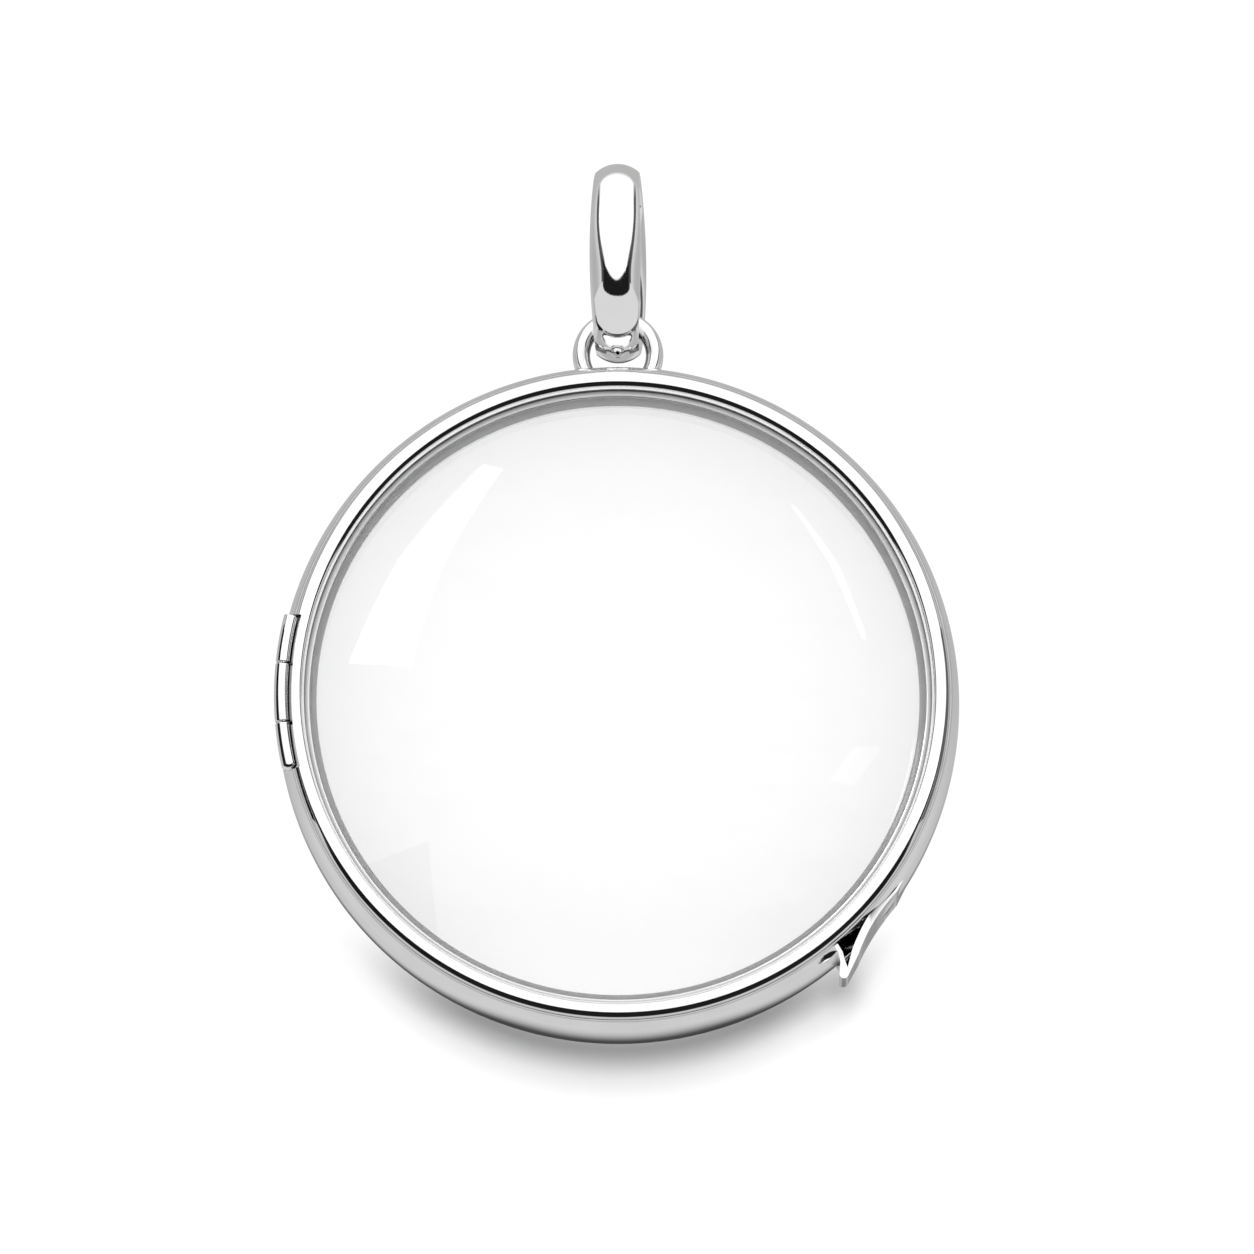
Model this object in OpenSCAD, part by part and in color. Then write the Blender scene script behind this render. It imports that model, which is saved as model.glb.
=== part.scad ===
// Round glass locket: two domed glasses in a polished metal case that opens like a book,
// hanging from a jump ring and an oval bail.
// The origin is the inner top of the bail, where the chain carries it. +Z is up and -Y is the front.

/* [Case] */
// Diameter across the case at the middle of its depth
case_d = 30; // [28:0.5:34]
// Distance between the front seam and the back seam
seam_gap = 4.3; // [4.2:0.05:4.6]
// Radius of the rounded shoulders of the outer band
shoulder_r = 2; // [1.9:0.05:2.1]
// Width of the crowned bezel
bezel_w = 0.84; // [0.8:0.02:0.88]
// Running gap between the case and the lid
lid_gap = 0.04; // [0.03:0.01:0.08]

/* [Glass] */
// Height of the glass crown in front of the middle of the case
crown = 3.9; // [3.8:0.1:4.4]
// Thickness of the glass at its crown
glass_t = 0.7; // [0.6:0.05:0.9]
// Gap between the glass and its seat
glass_gap = 0.03; // [0.02:0.01:0.04]

/* [Hinge] */
// Outer diameter of the hinge barrel
barrel_d = 0.68; // [0.64:0.02:0.72]
// Length of the whole barrel
barrel_len = 6.9; // [6.5:0.1:7.3]
// Length of the lid's knuckle
knuckle_len = 2.6; // [2.2:0.1:3]
// Diameter of the hinge pin
pin_d = 0.2; // [0.16:0.02:0.22]
// How far the lid is open
lid_open = 0; // [0:5:100]

/* [Beak] */
// How far the tip of the beak stands out from the band
beak_out = 1.1; // [0.9:0.1:1.4]
// Thickness of the beak's wall
beak_wall = 0.33; // [0.28:0.01:0.4]

/* [Jump ring] */
// Outer diameter of the ring
ring_d = 4; // [3.9:0.05:4.1]
// Diameter of the ring's wire
ring_wire = 0.77; // [0.7:0.01:0.8]

/* [Bail] */
// Height of the bail over its outside
bail_h = 8.92; // [8.6:0.1:9.4]
// Front to back size over the outside
bail_depth = 5.6; // [5.4:0.1:5.8]
// Outer radius of the two ends of the bail
bail_end_r = 2.3; // [2.2:0.05:2.4]
// Width of the band at half height
bail_w = 2.24; // [2:0.02:2.3]
// Thickness of the band at its middle
bail_t = 1.35; // [1.2:0.05:1.4]
// How far the bail is turned about the vertical
bail_turn = 3.5; // [0:0.5:5]

/* [Hidden] */
$fn = 96;
far = 30;
silver = "silver";
clear = [0.85, 0.93, 0.97, 0.4];

// Radii of the case, from the outside in
case_r = case_d / 2;
seam_r = case_r - 0.38;
bezel_mid_r = seam_r - bezel_w / 2;
bezel_in_r = seam_r - bezel_w;
wall_r = case_r - 0.75;
skirt_r = wall_r - 0.15;
seat_r = skirt_r - 0.31;
lip_r = seat_r - 0.24;
ledge_r = seat_r - 0.65;

// Depths of the case, counted from its middle towards the front
seam_z = seam_gap / 2;
bezel_top = seam_z + 0.22;
lip_back = seam_z - 0.5;
lip_top = seam_z - 0.63;
lip_under = lip_top - 0.07;
ledge_top = lip_under - 0.63;
ledge_under = ledge_top - 0.22;
lid_rest = ledge_under - 0.08;
overlap = 0.05;

// The ring stands on the case, and the bail hangs through it
ring_mid = (ring_d - ring_wire) / 2;
ring_sunk = 1.23;
ring_z = case_r + ring_d / 2 - ring_sunk;
hang_gap = 0.17;
hanging = ring_z + ring_mid - ring_wire / 2 - hang_gap;
bail_clear = bail_h - 2 * bail_t;
case_z = -(hanging + bail_clear);

// The hinge: its barrel follows the rim, and its pin is straight
barrel_r = barrel_d / 2;
barrel_mid_r = seam_r + 0.14;
barrel_z = seam_z - 0.15;
barrel_up = 0.1;
pin_x = -(barrel_mid_r - 0.1);
pin_y = -barrel_z;
pin_len = 4.8;
pin_play = 0.04;
knuckle_gap = 0.06;
notch_floor = barrel_z - barrel_r - 0.2;
notch_play = 0.4;
relief_r = seam_r - 0.29;
web_t = 0.2;

// Heights at which the barrel is parted: the case holds both ends, the lid the middle
barrel_low = barrel_up - barrel_len / 2;
barrel_high = barrel_up + barrel_len / 2;
barrel_turn = asin(barrel_high / barrel_mid_r);
lid_low = barrel_up - knuckle_len / 2;
lid_high = barrel_up + knuckle_len / 2;

// Lays what is drawn face-on upright at the middle of the case: x right, y up, z to the front
module face_on() {
    translate([0, 0, case_z]) rotate([90, 0, 0]) children();
}

// Turns the lid about the hinge pin
module opened(angle) {
    translate([pin_x, pin_y, 0]) rotate([0, 0, -angle]) translate([-pin_x, -pin_y, 0]) children();
}

// Crown of the bezel in front of a depth
module bezel_outline(from_z) {
    crown_r = 0.75;
    intersection() {
        translate([bezel_mid_r, bezel_top - crown_r]) circle(r = crown_r);
        translate([bezel_in_r, from_z]) square([bezel_w, far]);
    }
}

// Inner side of the bezel, the lip over the glass, its seat and the ledge that the glass rests on
module seat_outline(outer_r, under) {
    polygon([
        [ledge_r, under], [outer_r, under], [outer_r, seam_z + overlap],
        [bezel_in_r, seam_z + overlap], [bezel_in_r, lip_back],
        [lip_r, lip_top], [lip_r, lip_under], [seat_r, lip_under],
        [seat_r, ledge_top], [ledge_r, ledge_top]
    ]);
}

// Outer band: straight in the middle of its depth, with a large round shoulder to each seam
module band_outline() {
    shoulder_mid_r = case_r - shoulder_r;
    shoulder_z = seam_z - sqrt(pow(shoulder_r, 2) - pow(seam_r - shoulder_mid_r, 2));
    intersection() {
        union() {
            translate([0, -shoulder_z]) square([case_r, 2 * shoulder_z]);
            for (z = [-shoulder_z, shoulder_z])
                translate([shoulder_mid_r, z]) circle(r = shoulder_r);
        }
        translate([wall_r, -seam_z]) square([far, 2 * seam_z - lid_gap]);
    }
}

// Case: the band, and the back bezel as the lid's mirror image
module case_outline() {
    band_outline();
    mirror([0, 1]) {
        bezel_outline(seam_z - overlap);
        seat_outline(wall_r + overlap, -lid_rest);
    }
}

// Lid: bezel, lip and the skirt that drops into the case
module lid_outline() {
    bezel_outline(seam_z);
    seat_outline(skirt_r, ledge_under);
}

// Radius of a dome from its rim radius and its rise
function dome_r(rim, rise) = (rim * rim + rise * rise) / (2 * rise);

// Domed glass, thicker at its rim
module glass() {
    rim_r = seat_r - glass_gap - 0.02;
    rim_under = ledge_top + glass_gap;
    in_crown = crown - glass_t;
    out_r = dome_r(lip_r, crown - (lip_under - glass_gap));
    in_r = dome_r(ledge_r + 0.06, in_crown - rim_under);
    rotate_extrude() difference() {
        intersection() {
            translate([0, crown - out_r]) circle(r = out_r);
            translate([0, rim_under]) square([rim_r, far]);
        }
        translate([0, in_crown - in_r]) circle(r = in_r);
    }
}

// Keeps what lies on the left side between two heights
module between(low, high) {
    intersection() {
        children();
        translate([-far, low, 0]) cube([far, high - low, far]);
    }
}

// Ring sector centred on the left side, from a section drawn beside the axis
module left_sector(half_turn) {
    rotate([0, 0, 180 - half_turn]) rotate_extrude(angle = 2 * half_turn) children();
}

// Part of the barrel between two heights, bent along the rim
module barrel_piece(low, high) {
    between(low, high) left_sector(2 * barrel_turn)
        translate([barrel_mid_r, barrel_z]) circle(r = barrel_r);
}

// Web that ties a knuckle to the metal beside it
module knuckle_web(low, high, from_r, from_z, to_z) {
    between(low, high) left_sector(barrel_turn)
        translate([from_r, from_z]) square([barrel_mid_r - from_r, to_z - from_z]);
}

// Room for the barrel in the rim
module barrel_notch(from_r, from_z) {
    left_sector(barrel_turn + notch_play)
        translate([from_r, from_z]) square([far - from_r, far]);
}

module pin_rod(d, len) {
    translate([pin_x, barrel_up, barrel_z]) rotate([90, 0, 0]) cylinder(d = d, h = len, center = true);
}

// Points along an arc, from one angle to another
function arc(mid, r, from, to, steps) =
    [for (i = [0:steps]) let (a = from + (to - from) * i / steps) mid + r * [cos(a), sin(a)]];

// The beak peels off the band and flares outwards in an arc about a point outside the case.
// Its points are set for a band of one radius, and it moves out with the band.
beak_band_r = 15;
beak_arc_mid = [19.2, -14.7];
beak_arc_r = 9.2;
beak_arc_from = 136;
beak_arc_to = 160.5;
beak_arc_steps = 8;
beak_tip_r = 0.24;
beak_tip_turn = -18;
beak_way = [cos(-51.8), sin(-51.8)];
beak_tip = (beak_band_r + beak_out - beak_tip_r) * beak_way;
beak_root = [[9.5, -11.0], [11.5, -8.6]];
hollow_root = [[10.06, -12.2], [9.93, -11.85], [9.84, -11.5], [9.6, -11.1], [11.4, -8.9]];

module beak_outline() {
    polygon(concat(
        arc(beak_arc_mid, beak_arc_r, beak_arc_from, beak_arc_to, beak_arc_steps),
        [beak_tip + beak_tip_r * [cos(beak_tip_turn), sin(beak_tip_turn)], beak_tip],
        [beak_tip - [beak_tip_r, 0]],
        beak_root
    ));
    translate(beak_tip) circle(r = beak_tip_r);
}

// Slit and hollow between the beak's two walls
module beak_hollow_outline() {
    polygon(concat(
        arc(beak_arc_mid, beak_arc_r + beak_wall, beak_arc_from, beak_arc_to - 1, beak_arc_steps),
        hollow_root
    ));
}

// Raises an outline of the beak beside the band
module beak_raised(height) {
    translate((case_r - beak_band_r) * beak_way) translate([0, 0, -seam_z]) linear_extrude(height = height)
        children();
}

// The beak is nearly as deep as the band at its root and half as deep at the tip
module beak_depth() {
    front = seam_z - 0.15;
    root_back = 0.5 - seam_z;
    tip_back = seam_z - 1.25;
    far_r = case_r + 1.6;
    rotate_extrude() polygon([
        [wall_r, root_back], [case_r, root_back], [far_r, tip_back], [far_r, front], [wall_r, front]
    ]);
}

module beak() {
    difference() {
        intersection() {
            beak_raised(2 * seam_z) beak_outline();
            beak_depth();
        }
        intersection() {
            beak_raised(3 * seam_z) beak_hollow_outline();
            translate([0, 0, beak_wall]) beak_depth();
        }
    }
}

// Scoop for a fingernail beside the beak
module nail_scoop() {
    scoop_angle = -52.6;
    scoop_r = 0.5;
    rotate([0, 0, scoop_angle]) translate([case_r + 0.08, 0, seam_z - 0.3]) sphere(r = scoop_r);
}

// Jump ring soldered on the band, cut where it meets the band
module jump_ring() {
    difference() {
        translate([0, ring_z, 0]) rotate_extrude() translate([ring_mid, 0]) circle(d = ring_wire);
        translate([0, 0, -ring_wire]) cylinder(r = wall_r + 0.2, h = 2 * ring_wire, $fn = 192);
    }
}

module case() {
    color(silver) face_on() difference() {
        union() {
            difference() {
                rotate_extrude() case_outline();
                barrel_notch(bezel_in_r, notch_floor);
                nail_scoop();
            }
            beak();
            jump_ring();
            for (span = [[barrel_low, lid_low - knuckle_gap], [lid_high + knuckle_gap, barrel_high]]) {
                barrel_piece(span[0], span[1]);
                knuckle_web(span[0], span[1], wall_r, notch_floor - web_t, barrel_z);
            }
        }
        pin_rod(pin_d + pin_play, pin_len + 2 * pin_play);
    }
}

module lid() {
    color(silver) opened(lid_open) face_on() difference() {
        union() {
            difference() {
                rotate_extrude() lid_outline();
                barrel_notch(relief_r, 0);
            }
            barrel_piece(lid_low, lid_high);
            knuckle_web(lid_low, lid_high, skirt_r - web_t / 2, barrel_z - web_t, barrel_z + web_t / 2);
        }
        pin_rod(pin_d + pin_play, pin_len);
    }
}

module hinge_pin() {
    color("gainsboro") face_on() pin_rod(pin_d, pin_len);
}

module front_glass() {
    color(clear) opened(lid_open) face_on() glass();
}

module back_glass() {
    color(clear) face_on() mirror([0, 0, 1]) glass();
}

// The bail's side view is an oval of four arcs: two tight ends and two long sides
bail_end_z = bail_h / 2 - bail_end_r;
bail_half = bail_depth / 2;
bail_side_r = (pow(bail_half, 2) + pow(bail_end_z, 2) - pow(bail_end_r, 2)) / (2 * (bail_half - bail_end_r));
bail_side_turn = atan(bail_end_z / (bail_side_r - bail_half));

// Section of the bail at an outer radius: two shallow crowns back to back
module bail_section(outer) {
    crown_out = 1.4;
    crown_in = 1.5;
    intersection() {
        translate([outer - crown_out, 0]) circle(r = crown_out);
        translate([outer - bail_t + crown_in, 0]) circle(r = crown_in);
    }
}

// One arc of the bail in its side view, from one angle to another
module bail_arc(outer, from, to) {
    rotate([90, 0, 90]) rotate([0, 0, from]) rotate_extrude(angle = to - from) bail_section(outer);
}

// Front view of the bail, widest at half height
module bail_front() {
    lens_r = 44;
    intersection_for(side = [-1, 1])
        translate([side * (lens_r - bail_w / 2), 0]) circle(r = lens_r, $fn = 192);
}

module bail() {
    color(silver) translate([0, 0, -bail_clear / 2]) rotate([0, 0, -bail_turn]) intersection() {
        for (turn = [0, 180]) rotate([turn, 0, 0]) {
            translate([0, 0, bail_end_z]) bail_arc(bail_end_r, bail_side_turn, 180 - bail_side_turn);
            translate([0, bail_half - bail_side_r, 0]) bail_arc(bail_side_r, -bail_side_turn, bail_side_turn);
        }
        rotate([90, 0, 0]) linear_extrude(height = far, center = true) bail_front();
    }
}

bail();
case();
lid();
hinge_pin();
front_glass();
back_glass();
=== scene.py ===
"""Looks of a round glass locket: polished silver case, two glass domes, hinge, beak, jump ring and bail.

Sizes are in millimetres and are brought to metres when a piece is placed. Most pieces are drawn face-on,
with x to the right, y up and z towards the viewer, and are then laid upright at the middle of the case.
"""

import logging
import math
from collections.abc import Callable, Sequence
from dataclasses import dataclass, field
from enum import Enum

import bmesh
import bpy
from mathutils import Matrix, Vector
from mathutils.geometry import intersect_point_line


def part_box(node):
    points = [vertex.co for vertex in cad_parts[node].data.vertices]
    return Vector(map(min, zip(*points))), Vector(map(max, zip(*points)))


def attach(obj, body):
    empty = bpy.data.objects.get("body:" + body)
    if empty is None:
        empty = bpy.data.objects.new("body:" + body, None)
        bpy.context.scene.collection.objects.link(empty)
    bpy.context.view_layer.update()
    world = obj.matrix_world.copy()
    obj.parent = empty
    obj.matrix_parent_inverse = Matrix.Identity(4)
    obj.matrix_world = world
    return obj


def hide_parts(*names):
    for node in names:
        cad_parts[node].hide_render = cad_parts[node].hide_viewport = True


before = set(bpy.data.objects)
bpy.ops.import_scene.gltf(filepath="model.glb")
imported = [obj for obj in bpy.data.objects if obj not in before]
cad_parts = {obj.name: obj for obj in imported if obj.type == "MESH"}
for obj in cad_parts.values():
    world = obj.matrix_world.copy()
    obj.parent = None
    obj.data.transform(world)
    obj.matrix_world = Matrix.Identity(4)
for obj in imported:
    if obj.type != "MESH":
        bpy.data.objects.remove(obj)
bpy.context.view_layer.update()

log = logging.getLogger("locket")

MM = 0.001
BEZEL_RISE = 0.22
Point = tuple[float, float]
Colour = tuple[float, float, float, float]
Socket = bpy.types.NodeSocket
Sockets = dict[str, Socket]


class Body(Enum):
    """The bodies that the pieces ride on."""

    BAIL = "bail"
    CASE = "case"
    LID = "lid"


class Slot(Enum):
    """The record's material slots."""

    SILVER = "silver"
    GLASS = "glass"


class Side(Enum):
    """The side of the case that a glass closes; the value is the sign of its depth."""

    FRONT = 1
    BACK = -1


class Cut(Enum):
    """What a tool does to the piece that it meets."""

    OFF = "DIFFERENCE"
    ON = "UNION"
    SHARED = "INTERSECT"


def polar(radius: float, degrees: float) -> Vector:
    """Point at a radius and an angle in degrees from the x axis, counter-clockwise."""
    turn = math.radians(degrees)
    return Vector((radius * math.cos(turn), radius * math.sin(turn)))


def arc(centre: Sequence[float], radius: float, start: float, end: float, steps: int) -> list[Point]:
    """Points along an arc.

    Args:
        centre: Middle of the arc.
        radius: Radius of the arc.
        start: Angle of the first point, in degrees.
        end: Angle of the last point, in degrees.
        steps: Number of stretches.

    Returns:
        The steps + 1 points.
    """
    middle = Vector(centre)
    turns = (start + (end - start) * i / steps for i in range(steps + 1))
    return [tuple(middle + polar(radius, turn)) for turn in turns]


def rounded(corners: Sequence[tuple[float, float, float]]) -> list[Point]:
    """Closed outline with a small round at each corner.

    Args:
        corners: x, y and corner radius of each corner in turn; a radius of 0 leaves the corner as it is.

    Returns:
        The points of the outline.
    """
    points: list[Point] = []
    count, steps = len(corners), 4
    for i, (x, y, radius) in enumerate(corners):
        here = Vector((x, y))
        if radius == 0:
            points.append((x, y))
            continue
        before = (Vector(corners[i - 1][:2]) - here).normalized()
        after = (Vector(corners[(i + 1) % count][:2]) - here).normalized()
        half = before.angle(after) / 2
        reach = radius / math.tan(half)
        first, last = here + before * reach, here + after * reach
        middle = here + (before + after).normalized() * (radius / math.sin(half))
        for k in range(steps + 1):
            spoke = (first - middle).lerp(last - middle, k / steps).normalized() * radius
            points.append(tuple(middle + spoke))
    return points


def socket(node: bpy.types.Node, name: str) -> Socket:
    """The node's enabled input of that name."""
    return next(s for s in node.inputs if s.name == name and s.enabled)


def evaluated(obj: bpy.types.Object) -> bpy.types.Mesh:
    """A plain mesh of the object with its modifiers applied."""
    graph = bpy.context.evaluated_depsgraph_get()
    return bpy.data.meshes.new_from_object(obj.evaluated_get(graph), depsgraph=graph)


def add_object(name: str, mesh: bpy.types.Mesh) -> bpy.types.Object:
    """Puts a new object in the scene.

    Args:
        name: Name of the object.
        mesh: The mesh that it shows.

    Returns:
        The new object.
    """
    obj = bpy.data.objects.new(name, mesh)
    bpy.context.scene.collection.objects.link(obj)
    return obj


def discard(*objects: bpy.types.Object) -> None:
    """Takes helper objects out of the file."""
    for obj in objects:
        bpy.data.objects.remove(obj)


def settle(obj: bpy.types.Object) -> None:
    """Turns an object's modifiers into plain mesh.

    Args:
        obj: The object.
    """
    mesh = evaluated(obj)
    obj.modifiers.clear()
    obj.data = mesh


def soften_edges(obj: bpy.types.Object, width: float, segments: int, angle: float) -> None:
    """Rounds the sharp edges of an object.

    Args:
        obj: The object.
        width: Width of the round.
        segments: Stretches across it.
        angle: Angle in degrees above which an edge is rounded.
    """
    bevel = obj.modifiers.new("edges", "BEVEL")
    bevel.width = width
    bevel.segments = segments
    bevel.limit_method = "ANGLE"
    bevel.angle_limit = math.radians(angle)
    settle(obj)


def place_facing(obj: bpy.types.Object, place: Vector, way: Vector) -> None:
    """Puts a camera or a lamp in the scene.

    Args:
        obj: The camera or lamp.
        place: Its place in millimetres.
        way: The direction that it looks in.
    """
    obj.location = place * MM
    obj.rotation_mode = "QUATERNION"
    obj.rotation_quaternion = way.to_track_quat("-Z", "Y")
    bpy.context.scene.collection.objects.link(obj)


def middle_height(node: str) -> float:
    """Height of the middle of a CAD node, in millimetres."""
    low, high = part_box(node)
    return (low.z + high.z) / 2 / MM


def within(zone: tuple[Point, Point], radius: float, depth: float) -> bool:
    """Whether a radius and a depth lie inside the two ranges of a zone."""
    return zone[0][0] < radius < zone[0][1] and zone[1][0] < depth < zone[1][1]


def rectangle(radii: Point, depths: Point) -> list[Point]:
    """Outline of a section between two radii and two depths."""
    return [(radii[0], depths[0]), (radii[1], depths[0]), (radii[1], depths[1]), (radii[0], depths[1])]


def dome_radius(half_width: float, rise: float) -> float:
    """Radius of curvature of a dome that rises so far over half its width."""
    return (half_width**2 + rise**2) / (2 * rise)


def dome_depth(crown: float, dome_r: float, radius: float) -> float:
    """Depth of a dome at a distance from its axis, from the depth of its crown."""
    return crown - dome_r + math.sqrt(dome_r**2 - radius**2)


def mesh_of(name: str, points: Sequence[Sequence[float]], faces: Sequence[Sequence[int]]) -> bpy.types.Mesh:
    """A mesh with its faces turned outwards.

    Args:
        name: Name of the mesh.
        points: The places of its vertices.
        faces: The vertices of each face.

    Returns:
        The new mesh.
    """
    mesh = bpy.data.meshes.new(name)
    mesh.from_pydata([tuple(p) for p in points], [], [tuple(f) for f in faces])
    face_outwards(mesh)
    return mesh


def face_outwards(mesh: bpy.types.Mesh) -> None:
    """Merges the doubles of a closed mesh and turns its faces outwards.

    Args:
        mesh: The mesh.
    """
    work = bmesh.new()
    work.from_mesh(mesh)
    bmesh.ops.remove_doubles(work, verts=work.verts, dist=1e-5)
    bmesh.ops.recalc_face_normals(work, faces=work.faces)
    work.to_mesh(mesh)
    work.free()


def ring_faces(rings: int, count: int, start: int = 0, closed: bool = False) -> list[tuple[int, ...]]:
    """Faces between rings of vertices that follow each other.

    Args:
        rings: Number of rings.
        count: Vertices in each ring.
        start: Index of the first vertex of the first ring.
        closed: Whether the last ring joins the first.

    Returns:
        The vertices of each face.
    """
    faces = []
    for k in range(rings if closed else rings - 1):
        a, b = start + k * count, start + (k + 1) % rings * count
        faces += [(a + i, a + (i + 1) % count, b + (i + 1) % count, b + i) for i in range(count)]
    return faces


class RingSweep:
    """Geometry Nodes tree that sweeps an outline round the middle of the case.

    The object that carries the tree holds the outline as a closed line, drawn with x outwards from the
    sweep's own radius and y towards the front.
    """

    INPUTS = (
        ("Radius", "NodeSocketFloat"),
        ("Start", "NodeSocketFloat"),
        ("Sweep", "NodeSocketFloat"),
        ("Segments", "NodeSocketInt"),
        ("Closed", "NodeSocketBool"),
        ("Material", "NodeSocketMaterial"),
    )

    def __init__(self) -> None:
        """Builds the tree."""
        self.tree = bpy.data.node_groups.new("ring_sweep", "GeometryNodeTree")
        self.identifiers: dict[str, str] = {}
        face = self.tree.interface
        face.new_socket("Geometry", in_out="INPUT", socket_type="NodeSocketGeometry")
        for name, kind in self.INPUTS:
            self.identifiers[name] = face.new_socket(name, in_out="INPUT", socket_type=kind).identifier
        face.new_socket("Geometry", in_out="OUTPUT", socket_type="NodeSocketGeometry")
        self._connect()

    def _node(self, kind: str) -> bpy.types.Node:
        """A new node in the tree."""
        return self.tree.nodes.new(kind)

    def _connect(self) -> None:
        """Adds the nodes and their links."""
        link = self.tree.links.new
        given = self._node("NodeGroupInput")
        outline = self._node("GeometryNodeMeshToCurve")
        link(given.outputs["Geometry"], outline.inputs["Mesh"])
        circle = self._node("GeometryNodeCurvePrimitiveCircle")
        circle.mode = "RADIUS"
        part = self._node("GeometryNodeCurveArc")
        part.mode = "RADIUS"
        for path in (circle, part):
            link(given.outputs["Segments"], socket(path, "Resolution"))
            link(given.outputs["Radius"], socket(path, "Radius"))
        link(given.outputs["Start"], socket(part, "Start Angle"))
        link(given.outputs["Sweep"], socket(part, "Sweep Angle"))
        choice = self._node("GeometryNodeSwitch")
        choice.input_type = "GEOMETRY"
        link(given.outputs["Closed"], socket(choice, "Switch"))
        link(part.outputs["Curve"], socket(choice, "False"))
        link(circle.outputs["Curve"], socket(choice, "True"))
        capped = self._node("FunctionNodeBooleanMath")
        capped.operation = "NOT"
        link(given.outputs["Closed"], capped.inputs[0])
        sweep = self._node("GeometryNodeCurveToMesh")
        link(choice.outputs["Output"], sweep.inputs["Curve"])
        link(outline.outputs["Curve"], sweep.inputs["Profile Curve"])
        link(capped.outputs[0], sweep.inputs["Fill Caps"])
        whole = self._node("GeometryNodeRealizeInstances")
        link(sweep.outputs["Mesh"], whole.inputs["Geometry"])
        dressed = self._node("GeometryNodeSetMaterial")
        link(whole.outputs["Geometry"], dressed.inputs["Geometry"])
        link(given.outputs["Material"], dressed.inputs["Material"])
        result = self._node("NodeGroupOutput")
        link(dressed.outputs["Geometry"], result.inputs["Geometry"])

    def make(
        self,
        name: str,
        outline: Sequence[Point],
        material: bpy.types.Material,
        radius: float,
        span: tuple[float, float] | None = None,
        segments: int = 512,
    ) -> bpy.types.Object:
        """Sweeps an outline round the z axis.

        Args:
            name: Name of the new object.
            outline: Radius and depth of each point of the closed outline.
            material: Material of the new object.
            radius: Radius of the path.
            span: First and last angle in degrees, or None for the whole turn.
            segments: Points of the path.

        Returns:
            The swept object, with its faces outwards.
        """
        line = bpy.data.meshes.new(name)
        count = len(outline)
        places = [(r - radius, -depth, 0) for r, depth in outline]
        line.from_pydata(places, [(i, (i + 1) % count) for i in range(count)], [])
        seed = add_object(name + "_outline", line)
        modifier = seed.modifiers.new("sweep", "NODES")
        modifier.node_group = self.tree
        start, end = span or (0.0, 360.0)
        values = {
            "Radius": radius,
            "Start": math.radians(start),
            "Sweep": math.radians(end - start),
            "Segments": segments,
            "Closed": span is None,
            "Material": material,
        }
        for key, value in values.items():
            modifier[self.identifiers[key]] = value
        mesh = evaluated(seed)
        discard(seed)
        face_outwards(mesh)
        return add_object(name, mesh)


def combine(target: bpy.types.Object, tool: bpy.types.Object, cut: Cut) -> None:
    """Cuts, joins or intersects a mesh object with another, and discards the other.

    Args:
        target: The object that keeps the result.
        tool: The object that is used up.
        cut: What the tool does.
    """
    modifier = target.modifiers.new("combine", "BOOLEAN")
    modifier.operation = cut.value
    modifier.solver = "EXACT"
    modifier.object = tool
    settle(target)
    discard(tool)


def prism(name: str, outline: Sequence[Sequence[float]], low: float, high: float) -> bpy.types.Object:
    """A flat outline raised from one depth to another.

    Args:
        name: Name of the new object.
        outline: The points of the outline in turn.
        low: Depth of its back.
        high: Depth of its front.

    Returns:
        The new object.
    """
    count = len(outline)
    points = [(p[0], p[1], z) for z in (low, high) for p in outline]
    ends = [tuple(range(count)), tuple(range(count, 2 * count))]
    return add_object(name, mesh_of(name, points, ring_faces(2, count) + ends))


def revolve(name: str, line: Sequence[Point], segments: int) -> bpy.types.Mesh:
    """Turns a line that starts and ends on the z axis about that axis, with closed poles.

    Args:
        name: Name of the new mesh.
        line: Radius and depth of each point; the first and last have a radius of 0.
        segments: Number of sectors.

    Returns:
        The closed mesh.
    """
    rings = line[1:-1]
    points = [(0, 0, line[0][1]), (0, 0, line[-1][1])]
    for r, depth in rings:
        points += [(*polar(r, 360 * i / segments), depth) for i in range(segments)]
    last = len(points) - segments
    faces: list[tuple[int, ...]] = []
    for i in range(segments):
        j = (i + 1) % segments
        faces += [(0, 2 + i, 2 + j), (1, last + j, last + i)]
    return mesh_of(name, points, faces + ring_faces(len(rings), segments, start=2))


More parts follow.
